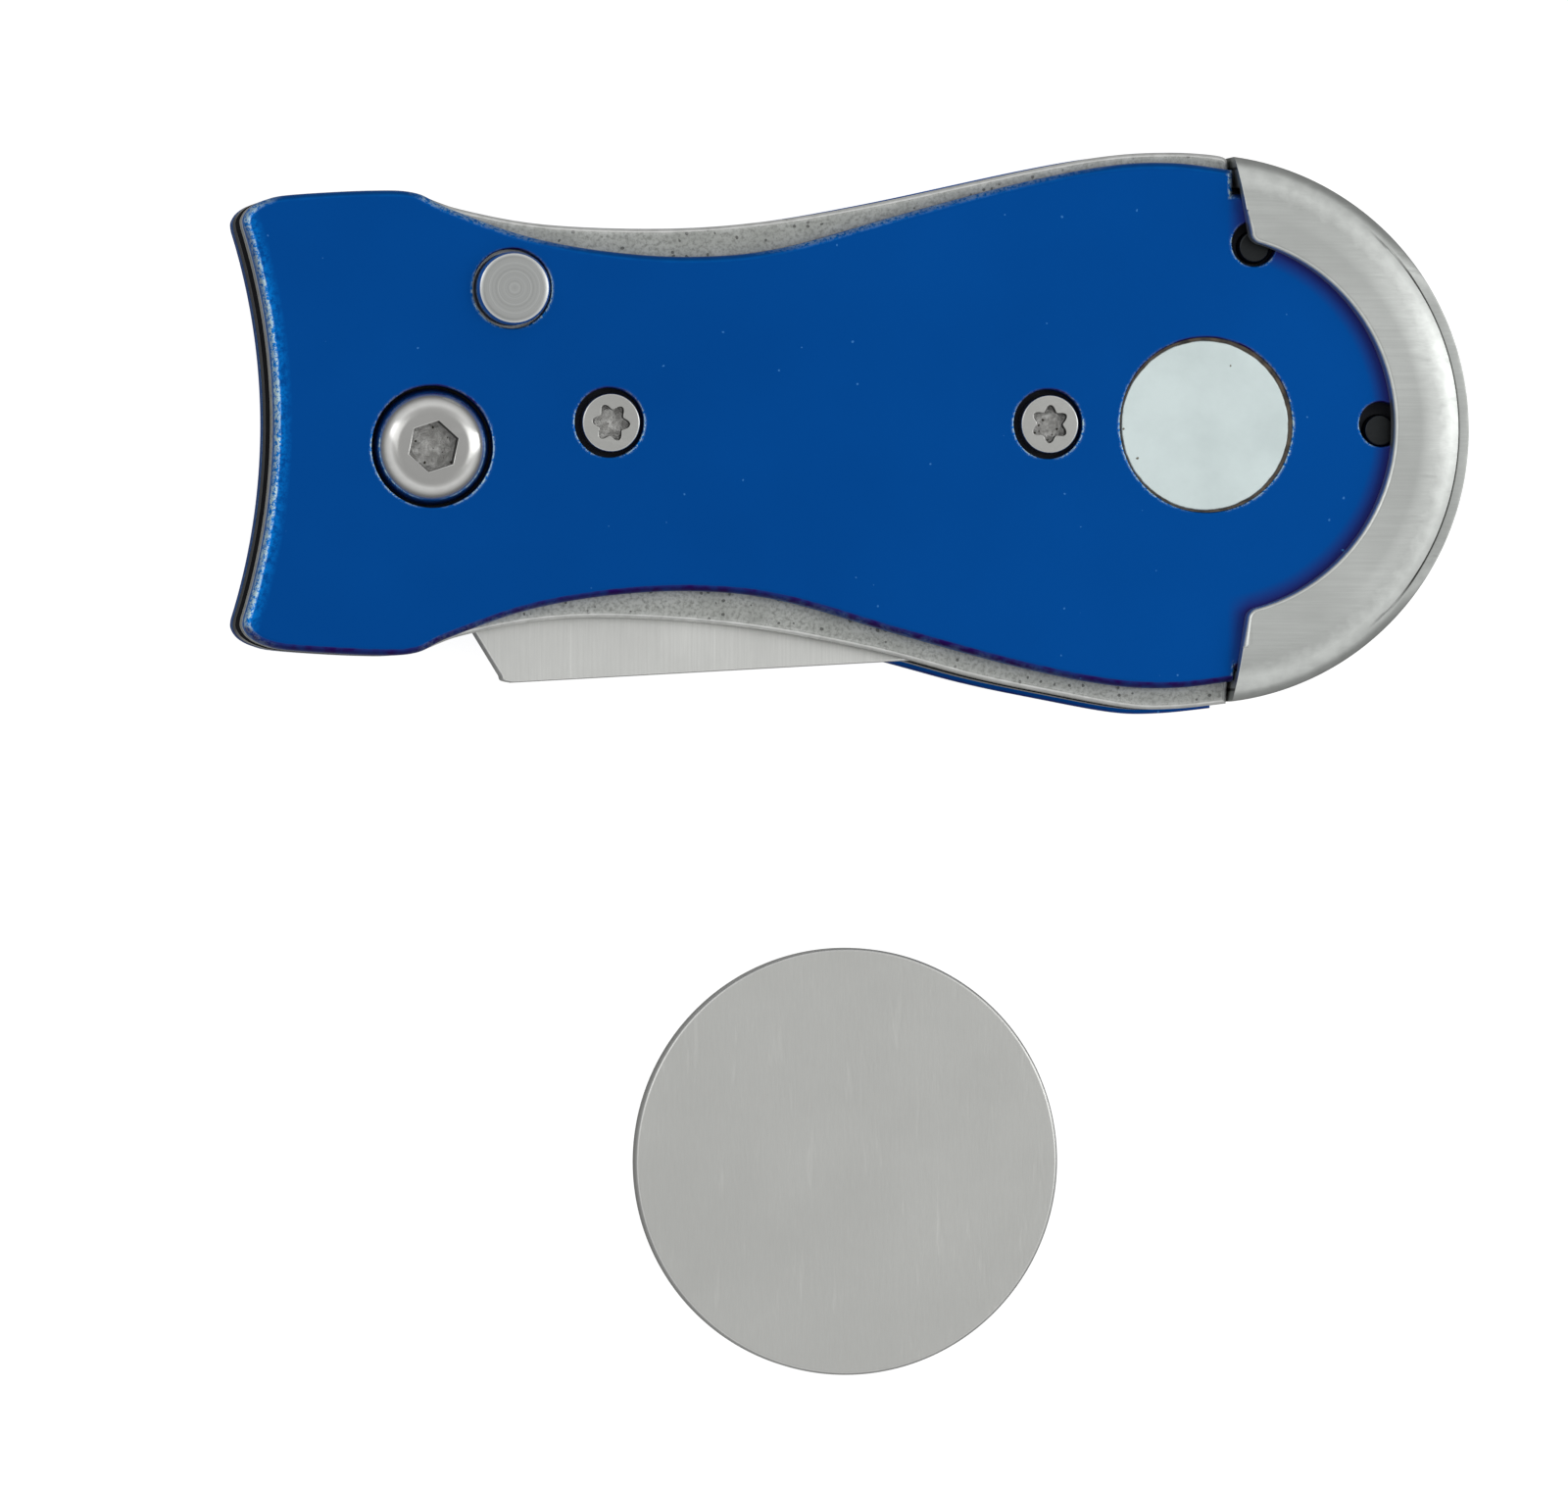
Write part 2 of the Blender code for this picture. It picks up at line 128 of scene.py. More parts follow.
def pick_faces(piece, wanted):
    shape = edit(piece, "FACE")
    for face in shape.faces:
        face.select_set(wanted(face.calc_center_median(), face.normal))
    bmesh.update_edit_mesh(piece.data)


def pick_rims(piece, wanted, sharper_than=40):
    """Selects the edges sharper than so many degrees whose middle is wanted."""
    shape = edit(piece, "EDGE")
    for edge in shape.edges:
        sharp = len(edge.link_faces) == 2 and edge.calc_face_angle() > math.radians(sharper_than)
        edge.select_set(sharp and wanted((edge.verts[0].co + edge.verts[1].co) / 2))
    bmesh.update_edit_mesh(piece.data)


def leave_edit():
    bpy.ops.object.mode_set(mode="OBJECT")


def at(*heights):
    """A test for points at one of the heights."""
    return lambda point: any(abs(point.z - height) < 0.01 for height in heights)


def round_rims(piece, wanted, width, segments=3, sharper_than=40):
    """Rounds the wanted rims and leaves edit mode."""
    pick_rims(piece, wanted, sharper_than)
    bpy.ops.mesh.bevel(offset=width, segments=segments, profile=0.5, affect="EDGES", clamp_overlap=False)
    leave_edit()


# %% Pulling, widening and turning what is selected


def pull(up, inset=0.0):
    """Extrudes the selected faces up, after drawing their rim in by the inset."""
    if inset:
        bpy.ops.mesh.inset(thickness=inset, depth=0)
    bpy.ops.mesh.extrude_region_move(TRANSFORM_OT_translate={"value": (0, 0, up)})


def widen(times, place):
    """Scales what is selected sideways about a place."""
    bpy.ops.transform.resize(value=(times, times, 1), center_override=(*place, 0))


def face_outwards():
    """Turns all faces of the open piece outwards and leaves edit mode."""
    bpy.ops.mesh.select_all(action="SELECT")
    bpy.ops.mesh.normals_make_consistent(inside=False)
    leave_edit()


# %% Cutting one shape out of another


def cut(piece, cutter):
    """Subtracts cutter from piece and throws the cutter away."""
    only(piece)
    step = piece.modifiers.new("cut", "BOOLEAN")
    step.operation = "DIFFERENCE"
    step.solver = "EXACT"
    step.object = cutter
    bpy.ops.object.modifier_apply(modifier=step.name)
    bpy.data.objects.remove(cutter)


def rod(place, radius, low, high, sides=96, name="rod"):
    """An upright cylinder between two heights."""
    bpy.ops.object.select_all(action="DESELECT")
    bpy.ops.mesh.primitive_cylinder_add(
        vertices=sides, radius=radius, depth=high - low, location=(place[0], place[1], (low + high) / 2))
    bpy.ops.object.transform_apply(location=True, rotation=True, scale=True)
    piece = bpy.context.object
    piece.name = piece.data.name = name
    return piece


def drill(piece, place, radius, low, high, sides=96):
    cut(piece, rod(place, radius, low, high, sides))


# %% [markdown]
# ## Outlines
# The covers and the casting are flat plates with a waisted outline. A Bezier curve could trace it. A mesh
# circle whose vertices are pulled onto a spline is used, because it is already a face and only needs
# extruding.

# %% Arcs and smooth curves


def arc(centre, radius, start, end, steps):
    turns = (math.radians(start + (end - start) * i / steps) for i in range(steps + 1))
    return [(centre[0] + radius * math.cos(t), centre[1] + radius * math.sin(t)) for t in turns]


def smooth(points, per_span=10):
    """A Catmull-Rom curve through the points."""
    padded = [points[0], *points, points[-1]]
    curve = []
    for a, b, c, d in zip(padded, padded[1:], padded[2:], padded[3:]):
        for i in range(per_span):
            t = i / per_span
            curve.append(tuple(
                0.5 * (2 * q + (r - p) * t + (2 * p - 5 * q + 4 * r - s) * t * t
                       + (3 * q - p - 3 * r + s) * t ** 3)
                for p, q, r, s in zip(a, b, c, d)))
    return curve + [points[-1]]


def flipped(points):
    return [(x, -y) for x, y in points]


def turned_by(points, degrees):
    c, s = math.cos(math.radians(degrees)), math.sin(math.radians(degrees))
    return [(x * c - y * s, x * s + y * c) for x, y in points]


def shifted(points, place):
    return [(x + place[0], y + place[1]) for x, y in points]


# %% From an outline to a plate


def plate(name, outline, low, high):
    """A mesh circle pulled to the outline and extruded from low to high."""
    bpy.ops.object.select_all(action="DESELECT")
    bpy.ops.mesh.primitive_circle_add(vertices=len(outline), radius=10, fill_type="NGON")
    piece = bpy.context.object
    piece.name = piece.data.name = name
    for vertex, (x, y) in zip(piece.data.vertices, outline):
        vertex.co = (x, y, low)
    pick_faces(piece, lambda centre, normal: True)
    pull(high - low)
    face_outwards()
    return piece


# %% Finishing a piece


def settle(piece, body, node, material):
    """Shrinks a piece to metres, shades it, gives it its finish and ties it to the frame."""
    only(piece)
    piece.scale = (MM, MM, MM)
    bpy.ops.object.transform_apply(location=True, rotation=True, scale=True)
    bpy.ops.object.shade_smooth_by_angle(angle=math.radians(35))
    weigh = piece.modifiers.new("weigh", "WEIGHTED_NORMAL")
    weigh.keep_sharp = True
    bpy.ops.object.modifier_apply(modifier=weigh.name)
    piece.data.materials.clear()
    piece.data.materials.append(material)
    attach(piece, body)
    if node:
        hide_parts(node)
    size = [round(value / MM, 2) for value in piece.dimensions]
    print(piece.name, size, "mm,", len(piece.data.polygons), "faces")
    return piece


def paint(piece, material, wanted):
    """Gives the wanted faces of a settled piece a second finish; places are in millimetres."""
    piece.data.materials.append(material)
    piece.active_material_index = len(piece.data.materials) - 1
    pick_faces(piece, lambda centre, normal: wanted(centre / MM, normal))
    bpy.ops.object.material_slot_assign()
    leave_edit()


# %% [markdown]
# ## Finishes
# Nearly all of the tool is metal, and bare metal is told apart by its grain: long scratches on brushed
# steel, rings on a turned cap, sand-like pits on a casting. Each effect is a node group that more than one
# finish uses. Groups work on Object coordinates, so that a pattern stays on its piece as the fork swings.

# %% A few lines that place and join nodes


def add(tree, kind, **settings):
    """A new node; a setting is an input's value, with _ for a space in its name, or else a property."""
    made = tree.nodes.new("ShaderNode" + kind)
    for name, value in settings.items():
        label = name.replace("_", " ")
        if label in made.inputs:
            made.inputs[label].default_value = value
        else:
            setattr(made, name, value)
    return made


def join(tree, source, target):
    """Links two sockets, each given as (node, name or number)."""
    tree.links.new(source[0].outputs[source[1]], target[0].inputs[target[1]])


def new_group(name, inputs, outputs):
    """A shader node group with float sockets, and its two ends."""
    tree = bpy.data.node_groups.new(name, "ShaderNodeTree")
    for label, value in inputs.items():
        socket = tree.interface.new_socket(label, in_out="INPUT", socket_type="NodeSocketFloat")
        socket.default_value = value
    for label in outputs:
        tree.interface.new_socket(label, in_out="OUTPUT", socket_type="NodeSocketFloat")
    return tree, tree.nodes.new("NodeGroupInput"), tree.nodes.new("NodeGroupOutput")


def ramp(tree, source, low, high, to_low=0.0, to_high=1.0):
    """Maps a value from one range to another and stops at its ends."""
    made = add(tree, "MapRange", clamp=True, From_Min=low, From_Max=high, To_Min=to_low, To_Max=to_high)
    join(tree, source, (made, "Value"))
    return made, "Result"


# %% Sums and products of masks


def calculate(tree, operation, *terms, **settings):
    """A Math node whose terms are sockets or plain numbers."""
    made = add(tree, "Math", operation=operation, **settings)
    for place, term in enumerate(terms):
        if isinstance(term, tuple):
            join(tree, term, (made, place))
        else:
            made.inputs[place].default_value = term
    return made, "Value"


def product(tree, first, second):
    return calculate(tree, "MULTIPLY", first, second)


def larger(tree, first, second):
    return calculate(tree, "MAXIMUM", first, second)


def total(tree, *terms):
    """Adds up (socket, weight) terms."""
    first, *others = [product(tree, source, weight) for source, weight in terms]
    for other in others:
        first = calculate(tree, "ADD", first, other)
    return first


# %% Places and patterns on a piece


def axis_of(tree, coordinate, axis):
    """One number of a texture coordinate, such as the Z of Object or of Normal."""
    parts = add(tree, "SeparateXYZ")
    join(tree, (add(tree, "TexCoord"), coordinate), (parts, "Vector"))
    return parts, axis


def distance_from(tree, centre):
    """How far a point is, seen from above, from a centre given in millimetres."""
    flat = add(tree, "Mapping", vector_type="POINT", Scale=(1, 1, 0),
               Location=(-centre[0] * MM, -centre[1] * MM, 0))
    join(tree, (add(tree, "TexCoord"), "Object"), (flat, "Vector"))
    distance = add(tree, "VectorMath", operation="LENGTH")
    join(tree, (flat, "Vector"), (distance, 0))
    return distance, "Value"


def noise(tree, scale, detail=2.0, roughness=0.5):
    made = add(tree, "TexNoise", Scale=scale, Detail=detail, Roughness=roughness)
    join(tree, (add(tree, "TexCoord"), "Object"), (made, "Vector"))
    return made, "Fac"


# %% [markdown]
# ### Grain
# Brushing leaves scratches that are long one way and very fine the other. An image could hold them, but
# stretched noise costs nothing and never repeats: the group scales space little along the brushing and much
# across it, and adds a finer layer for the odd deeper scratch.

# %% The grain group


def make_grain():
    tree, start, end = new_group(
        "Grain", {"Along": 100.0, "Across": 4000.0, "Turn": 0.0}, ["Grain", "Scratch"])
    spin = add(tree, "VectorRotate", rotation_type="Z_AXIS")
    join(tree, (add(tree, "TexCoord"), "Object"), (spin, "Vector"))
    join(tree, (start, "Turn"), (spin, "Angle"))
    scale = add(tree, "CombineXYZ")
    for axis, density in (("X", "Along"), ("Y", "Across"), ("Z", "Across")):
        join(tree, (start, density), (scale, axis))
    stretch = add(tree, "VectorMath", operation="MULTIPLY")
    join(tree, (spin, "Vector"), (stretch, 0))
    join(tree, (scale, "Vector"), (stretch, 1))
    fine = add(tree, "TexNoise", Scale=1.0, Detail=4.0, Roughness=0.7)
    join(tree, (stretch, "Vector"), (fine, "Vector"))
    join(tree, (fine, "Fac"), (end, "Grain"))
    coarse = add(tree, "TexNoise", Scale=0.31, Detail=2.0, Roughness=0.5)
    join(tree, (stretch, "Vector"), (coarse, "Vector"))
    join(tree, ramp(tree, (coarse, "Fac"), 0.62, 0.74), (end, "Scratch"))
    return tree


# %% [markdown]
# ### Edge wear and painted light
# Handling rubs edges bright, and the finishes also paint highlights and shade along edges. Painting them by
# hand would have to be done again whenever a shape changes. The Bevel node finds them instead: it rounds the
# normal near an edge, and where that differs from the true normal there is an edge. A rim that is modelled
# round needs a second test: on this tool every face is flat or upright, so whatever leans is a rim; rounded
# faces such as the guard's shoulder count too and get a painted highlight. The group also says which way an
# edge faces, sideways or down the table, because the two catch the light differently: the blue paints a glint
# on the one and shade on the other.

# %% The edge group


def make_edge_wear_and_light():
    tree, start, end = new_group(
        "Edge wear and painted light", {"Width": 0.0002, "Break up": 0.3}, ["Edge", "Sideways", "Down"])
    true = add(tree, "NewGeometry")
    rounded = add(tree, "Bevel", samples=6)
    join(tree, (start, "Width"), (rounded, "Radius"))
    match = add(tree, "VectorMath", operation="DOT_PRODUCT")
    join(tree, (true, "Normal"), (match, 0))
    join(tree, (rounded, "Normal"), (match, 1))
    edge = ramp(tree, (match, "Value"), 0.995, 0.86)
    missing = product(tree, ramp(tree, noise(tree, 1400, 3), 0.35, 0.65), (start, "Break up"))
    level = calculate(tree, "ABSOLUTE", axis_of(tree, "Normal", "Z"))
    leaning = product(tree, ramp(tree, level, 0.985, 0.93), ramp(tree, level, 0.1, 0.25))
    kept = calculate(tree, "SUBTRACT", larger(tree, edge, leaning), missing, use_clamp=True)
    join(tree, kept, (end, "Edge"))
    # Sideways and Down pick the rims that the blue paints with a glint and with shade.
    parts = add(tree, "SeparateXYZ")
    join(tree, (rounded, "Normal"), (parts, "Vector"))
    join(tree, ramp(tree, calculate(tree, "ABSOLUTE", (parts, "X")), 0.1, 0.4), (end, "Sideways"))
    join(tree, ramp(tree, (parts, "Y"), -0.08, -0.35), (end, "Down"))
    return tree


# %% [markdown]
# ### Specks
# Pits in a casting, dust on a cover and nicks in plating are all small spots scattered at random. One group
# makes them all: cells at a chosen scale, of which only the chosen share keep a spot at their middle.

# %% The speck group


def make_specks():
    tree, start, end = new_group("Specks", {"Scale": 2000.0, "Share": 0.2, "Size": 0.25}, ["Specks"])
    nudge = add(tree, "VectorMath", operation="SCALE", Scale=0.00018)
    join(tree, (noise(tree, 3000, 1)[0], "Color"), (nudge, 0))
    moved = add(tree, "VectorMath", operation="ADD")
    join(tree, (add(tree, "TexCoord"), "Object"), (moved, 0))
    join(tree, (nudge, "Vector"), (moved, 1))
    cells = add(tree, "TexVoronoi")
    join(tree, (moved, "Vector"), (cells, "Vector"))
    join(tree, (start, "Scale"), (cells, "Scale"))
    near = calculate(tree, "LESS_THAN", (cells, "Distance"), (start, "Size"))
    draw = add(tree, "SeparateColor")
    join(tree, (cells, "Color"), (draw, "Color"))
    chosen = calculate(tree, "LESS_THAN", (draw, "Red"), (start, "Share"))
    join(tree, product(tree, near, chosen), (end, "Specks"))
    return tree


GRAIN, EDGE_WEAR_AND_LIGHT, SPECKS = make_grain(), make_edge_wear_and_light(), make_specks()
print("groups:", GRAIN.name, EDGE_WEAR_AND_LIGHT.name, SPECKS.name)

# %% Starting a finish, and what all finishes share


def finish(name, **constants):
    """A new material with its Principled shader; constants are set on the shader's own sockets."""
    material = bpy.data.materials.new(name)
    material.use_nodes = True
    tree = material.node_tree
    shader = tree.nodes["Principled BSDF"]
    for label, value in constants.items():
        shader.inputs[label.replace("_", " ")].default_value = value
    return material, tree, shader


def group(tree, which, **values):
    return add(tree, "Group", node_tree=which, **values)


def blend(tree, mask, first, second):
    """A colour mix; first and second are colours or sockets."""
    mix = add(tree, "Mix", data_type="RGBA")
    join(tree, mask, (mix, "Factor"))
    for socket, value in ((6, first), (7, second)):
        if isinstance(value[0], bpy.types.Node):
            join(tree, value, (mix, socket))
        else:
            mix.inputs[socket].default_value = (*value, 1)
    return mix, 2


def dress(tree, shader, colour, rough, height, depth, strength=1.0):
    """Feeds a shader its colour, its roughness and a bump of so many metres."""
    join(tree, colour, (shader, "Base Color"))
    join(tree, rough, (shader, "Roughness"))
    dents = add(tree, "Bump", Strength=strength, Distance=depth)
    join(tree, height, (dents, "Height"))
    join(tree, (dents, "Normal"), (shader, "Normal"))


# %% [markdown]
# ### Blue anodising
# Anodising is a hard clear skin with dye in it, over etched aluminium. A paint would be a plain glossy
# plastic; this is a metal whose reflection is dyed, so Metallic is high and the roughness is that of the
# etched surface. Rims that face sideways, and the tail's rim, get a painted pale-blue glint, a painted
# highlight.
# Rims that face down, and the skin right beside the guard, are painted dark violet as shade.
# The back cover wears the same finish with less of the painted glint.

# %% The blue finish


def shade_beside_the_guard(tree):
    """A mask of painted shade for the last millimetre of the cover before the guard's inner edge."""
    near = ramp(tree, distance_from(tree, MAGNET), 10.0 * MM, 11.1 * MM, 0.0, 0.85)
    return product(tree, near, ramp(tree, axis_of(tree, "Object", "X"), 22.0 * MM, 23.3 * MM))


def make_blue(name, glint_shows):
    material, tree, shader = finish(name, Metallic=0.92, Specular_IOR_Level=0.2)
    cloud = ramp(tree, noise(tree, 70, 3), 0.3, 0.7)
    etched = noise(tree, 9000, 4, 0.7)
    glint_speckle = ramp(tree, noise(tree, 4600, 3, 0.8), 0.45, 0.53)
    scatter = ramp(tree, noise(tree, 3600, 3, 0.8), 0.38, 0.6)
    tail_glint = product(tree, ramp(tree, distance_from(tree, TAIL_MIDDLE), 38.75 * MM, 38.15 * MM), scatter)
    edge = group(tree, EDGE_WEAR_AND_LIGHT, Width=0.0003, Break_up=0.4)
    dust = group(tree, SPECKS, Scale=900.0, Share=0.35, Size=0.06)
    deep = blend(tree, cloud, (0.0006, 0.08, 0.365), (0.001, 0.09, 0.4))
    # Painted highlight: a pale glint on rims that face sideways and along the tail's rim.
    side = product(tree, (edge, "Edge"), (edge, "Sideways"))
    halo = total(tree, ((edge, "Edge"), 0.2), (side, 0.7 * glint_shows), (tail_glint, 0.8 * glint_shows))
    rim = blend(tree, halo, deep, (0.002, 0.26, 0.85))
    side_glint = total(tree, (product(tree, side, glint_speckle), glint_shows))
    bright = blend(tree, side_glint, rim, (0.72, 0.95, 1.0))
    # Painted shade: dark violet on rims that face down and beside the guard.
    shade = larger(tree, product(tree, (edge, "Edge"), (edge, "Down")), shade_beside_the_guard(tree))
    violet_shade = blend(tree, shade, bright, (0.03, 0.006, 0.13))
    dusty = blend(tree, total(tree, ((dust, "Specks"), 0.6)), violet_shade, (0.08, 0.32, 0.75))
    rough = ramp(tree, total(tree, (etched, 1.0), (cloud, 0.2)), 0.3, 1.0, 0.4, 0.52)
    height = total(tree, (etched, 1.0), (side_glint, 1.5), ((dust, "Specks"), 0.6))
    dress(tree, shader, dusty, rough, height, 0.000008, 0.5)
    return material


# %% [markdown]
# ### Brushed and polished steels
# The guard, fork, marker, screws and spring wire are all bare steel and differ in how they were rubbed. One
# function makes them from the grain group: which way the brushing runs, how coarse it is, and how much it
# shows in colour, gloss and depth. Edges and leaning faces are painted lighter, as edge wear and as a painted
# highlight, and the guard's crease is painted dark as shade.

# %% The steels


def crease_shade(tree):
    """A mask of painted shade for the guard's crease, and weaker for the ring outside it, both below the
    shoulder's height.
    """
    out = distance_from(tree, GUARD_MIDDLE)
    line = product(tree, ramp(tree, out, 15.22 * MM, 15.28 * MM), ramp(tree, out, 15.46 * MM, 15.38 * MM))
    ring = total(tree, (ramp(tree, out, 15.34 * MM, 15.44 * MM), 0.3))
    low = ramp(tree, axis_of(tree, "Object", "Z"), 8.72 * MM, 8.56 * MM)
    return product(tree, larger(tree, line, ring), low)


def shades_of(colour, *factors):
    return [tuple(min(1, value * factor) for value in colour) for factor in factors]


def make_steel(name, colour, roughness, along, across, turn=0.0, depth=0.000004, stain=0.12, rub_and_highlight=0.25,
               grain_shows=0.12, painted_shade=None):
    material, tree, shader = finish(name, Metallic=1.0)
    grain = group(tree, GRAIN, Along=along, Across=across, Turn=math.radians(turn))
    edge = group(tree, EDGE_WEAR_AND_LIGHT, Width=0.00015, Break_up=0.3)
    cloud = ramp(tree, noise(tree, 160, 3), 0.35, 0.68)
    dark, light, grey, bright = shades_of(colour, 1 - stain, 1 + stain / 3, 0.72, 1.6)
    base = blend(tree, cloud, dark, light)
    streak = ramp(tree, (grain, "Grain"), 0.3, 0.7, 0, grain_shows * 4)
    shaded = blend(tree, streak, base, grey)
    # Edges and leaning faces are painted lighter: edge wear and a painted highlight.
    worn_and_highlit = blend(tree, total(tree, ((edge, "Edge"), rub_and_highlight)), shaded, bright)
    # Painted shade, such as in the guard's crease.
    if painted_shade:
        worn_and_highlit = blend(tree, painted_shade(tree), worn_and_highlit, (0.06, 0.062, 0.058))
    gloss = total(tree, ((grain, "Grain"), 0.16), ((grain, "Scratch"), 0.08), (cloud, -0.05),
                  ((edge, "Edge"), -0.12))
    rough = ramp(tree, gloss, -0.15, 0.25, roughness - 0.12, roughness + 0.1)
    dress(tree, shader, worn_and_highlit, rough, total(tree, ((grain, "Grain"), 1.0), ((grain, "Scratch"), -0.8)), depth)
    return material


# %% [markdown]
# ### Cast zinc
# Die-cast zinc fills the mould with a skin like fine sand, grey and dull, with dark pits. Its rim is
# smoother, and painted lighter as edge wear and as a highlight. The pits are real dents in the bump, not only
# dots.
# At the bottom of the cover's holes, in the slot and under the tail it is painted nearly black as shade.

# %% The zinc finish


def hole_floor_shade(tree):
    """A mask of painted shade for the casting at the bottom of the cover's holes and in the notch."""
    painted_shade = None
    floors = [(PIVOT, 3.7), (BUTTON, 3.1), (NOTCH, 1.3)]
    floors += [(place, 2.3) for place in SCREWS] + [(place, 1.5) for place in PIN_HOLES]
    for place, radius in floors:
        near = ramp(tree, distance_from(tree, place), radius * MM, (radius - 0.1) * MM)
        painted_shade = larger(tree, painted_shade, near) if painted_shade else near
    return painted_shade


def slot_shade(tree):
    """A mask of painted shade for the floor and the ceiling of the slot."""
    half = (SLOT_HIGH - SLOT_LOW) / 2
    off = calculate(tree, "SUBTRACT", axis_of(tree, "Object", "Z"), (SLOT_LOW + SLOT_HIGH) / 2 * MM)
    inside = ramp(tree, calculate(tree, "ABSOLUTE", off), (half + 0.03) * MM, (half + 0.01) * MM)
    level = calculate(tree, "ABSOLUTE", axis_of(tree, "Normal", "Z"))
    return product(tree, inside, ramp(tree, level, 0.8, 0.95))


def tail_shade(tree):
    """A mask of painted shade for the hollow end of the tail below the slot."""
    end = ramp(tree, distance_from(tree, TAIL_MIDDLE), 38.5 * MM, 37.9 * MM, 0.0, 0.85)
    return product(tree, end, ramp(tree, axis_of(tree, "Object", "Z"), (SLOT_LOW + 0.1) * MM, SLOT_LOW * MM))


def make_zinc():
    material, tree, shader = finish("cast_zinc", Metallic=0.85)
    sand = noise(tree, 4300, 4, 0.7)
    cloud = ramp(tree, noise(tree, 420, 4), 0.3, 0.7)
    pits = group(tree, SPECKS, Scale=2400.0, Share=0.25, Size=0.24)
    edge = group(tree, EDGE_WEAR_AND_LIGHT, Width=0.0007, Break_up=0.3)
    base = blend(tree, cloud, (0.43, 0.445, 0.42), (0.55, 0.565, 0.54))
    grains = blend(tree, ramp(tree, sand, 0.36, 0.56), (0.3, 0.31, 0.29), base)
    pitted = blend(tree, (pits, "Specks"), grains, (0.17, 0.175, 0.165))
    # Rims are painted lighter: edge wear and a painted highlight.
    worn_and_highlit = blend(tree, (edge, "Edge"), pitted, (0.93, 0.94, 0.92))
    # Painted shade at the bottom of the holes, in the notch, in the slot and under the tail.
    painted_shade = larger(tree, larger(tree, hole_floor_shade(tree), slot_shade(tree)), tail_shade(tree))
    darkened_by_shade = blend(tree, painted_shade, worn_and_highlit, (0.025, 0.026, 0.03))
    rough = ramp(tree, total(tree, (sand, 0.2), ((edge, "Edge"), -0.22), (cloud, 0.1)), -0.15, 0.25, 0.36, 0.62)
    dress(tree, shader, darkened_by_shade, rough, total(tree, (sand, 1.0), ((pits, "Specks"), -1.2)), 0.00002, 0.7)
    return material


# %% [markdown]
# ### Turned caps
# A lathe leaves rings, and they run round the middle of one piece. Object coordinates start at the frame's
# origin, so a Mapping node first moves the pattern's centre to the cap's own middle.

# %% Rings about a point


def make_turned(name, colour, roughness, centre, pitch, depth):
    material, tree, shader = finish(name, Metallic=1.0)
    along = add(tree, "CombineXYZ")
    join(tree, distance_from(tree, centre), (along, "X"))
    rings = add(tree, "TexNoise", Scale=1 / (pitch * MM), Detail=3.0, Roughness=0.6)
    join(tree, (along, "Vector"), (rings, "Vector"))
    edge = group(tree, EDGE_WEAR_AND_LIGHT, Width=0.00018, Break_up=0.15)
    grey, bright = shades_of(colour, 0.78, 1.3)
    shaded = blend(tree, ramp(tree, (rings, "Fac"), 0.35, 0.65), grey, colour)
    # The chamfer is painted lighter: edge wear and a painted highlight.
    worn_and_highlit = blend(tree, (edge, "Edge"), shaded, bright)
    gloss = total(tree, ((rings, "Fac"), 0.25), ((edge, "Edge"), -0.15))
    rough = ramp(tree, gloss, -0.1, 0.25, roughness - 0.1, roughness + 0.08)
    dress(tree, shader, worn_and_highlit, rough, (rings, "Fac"), depth)
    return material


# %% [markdown]
# ### Nickel plate
# The magnet is plated with dull nickel. The plate is a little milky, chipped along its edge, where the dark
# core and old adhesive show, and dotted with a few dark nicks.

# %% The magnet's finish


def make_nickel():
    material, tree, shader = finish("nickel_plate", Metallic=0.75)
    haze = ramp(tree, noise(tree, 260, 5, 0.65), 0.35, 0.65)
    fine = noise(tree, 4200, 3)
    nicks = group(tree, SPECKS, Scale=900.0, Share=0.4, Size=0.07)
    edge = group(tree, EDGE_WEAR_AND_LIGHT, Width=0.00016, Break_up=0.9)
    base = blend(tree, haze, (0.74, 0.85, 0.845), (0.8, 0.91, 0.905))
    nicked = blend(tree, (nicks, "Specks"), base, (0.2, 0.19, 0.15))
    chipped = blend(tree, total(tree, ((edge, "Edge"), 0.9)), nicked, (0.16, 0.13, 0.09))
    rough = ramp(tree, total(tree, (haze, 0.5), (fine, 0.5)), 0.2, 0.8, 0.34, 0.52)
    dress(tree, shader, chipped, rough, total(tree, (fine, 0.4), ((nicks, "Specks"), -1.0)), 0.000006, 0.6)
    return material


# %% [markdown]
# ### Sockets
# The floor of a socket is punched, not polished, and holds grease. It gets its own rough, blotchy finish,
# which is given to the floor only. The walls of a socket see next to no light and are painted near black as
# shade, with the dark steel.

# %% The sockets' finish


def make_socket():
    material, tree, shader = finish("socket_floor", Metallic=0.9)
    blotch = ramp(tree, noise(tree, 2300, 5, 0.7), 0.36, 0.62)
    dots = group(tree, SPECKS, Scale=3800.0, Share=0.25, Size=0.28)
    base = blend(tree, blotch, (0.38, 0.375, 0.36), (0.62, 0.62, 0.6))
    greasy = blend(tree, (dots, "Specks"), base, (0.07, 0.065, 0.055))
    dress(tree, shader, greasy, ramp(tree, blotch, 0, 1, 0.6, 0.42), blotch, 0.00004, 0.9)
    return material


# %% All the finishes
socket_floor = make_socket()
blue = make_blue("blue_anodised", 1.0)
shaded_blue = make_blue("blue_anodised_back", 0.2)
zinc = make_zinc()
nickel = make_nickel()
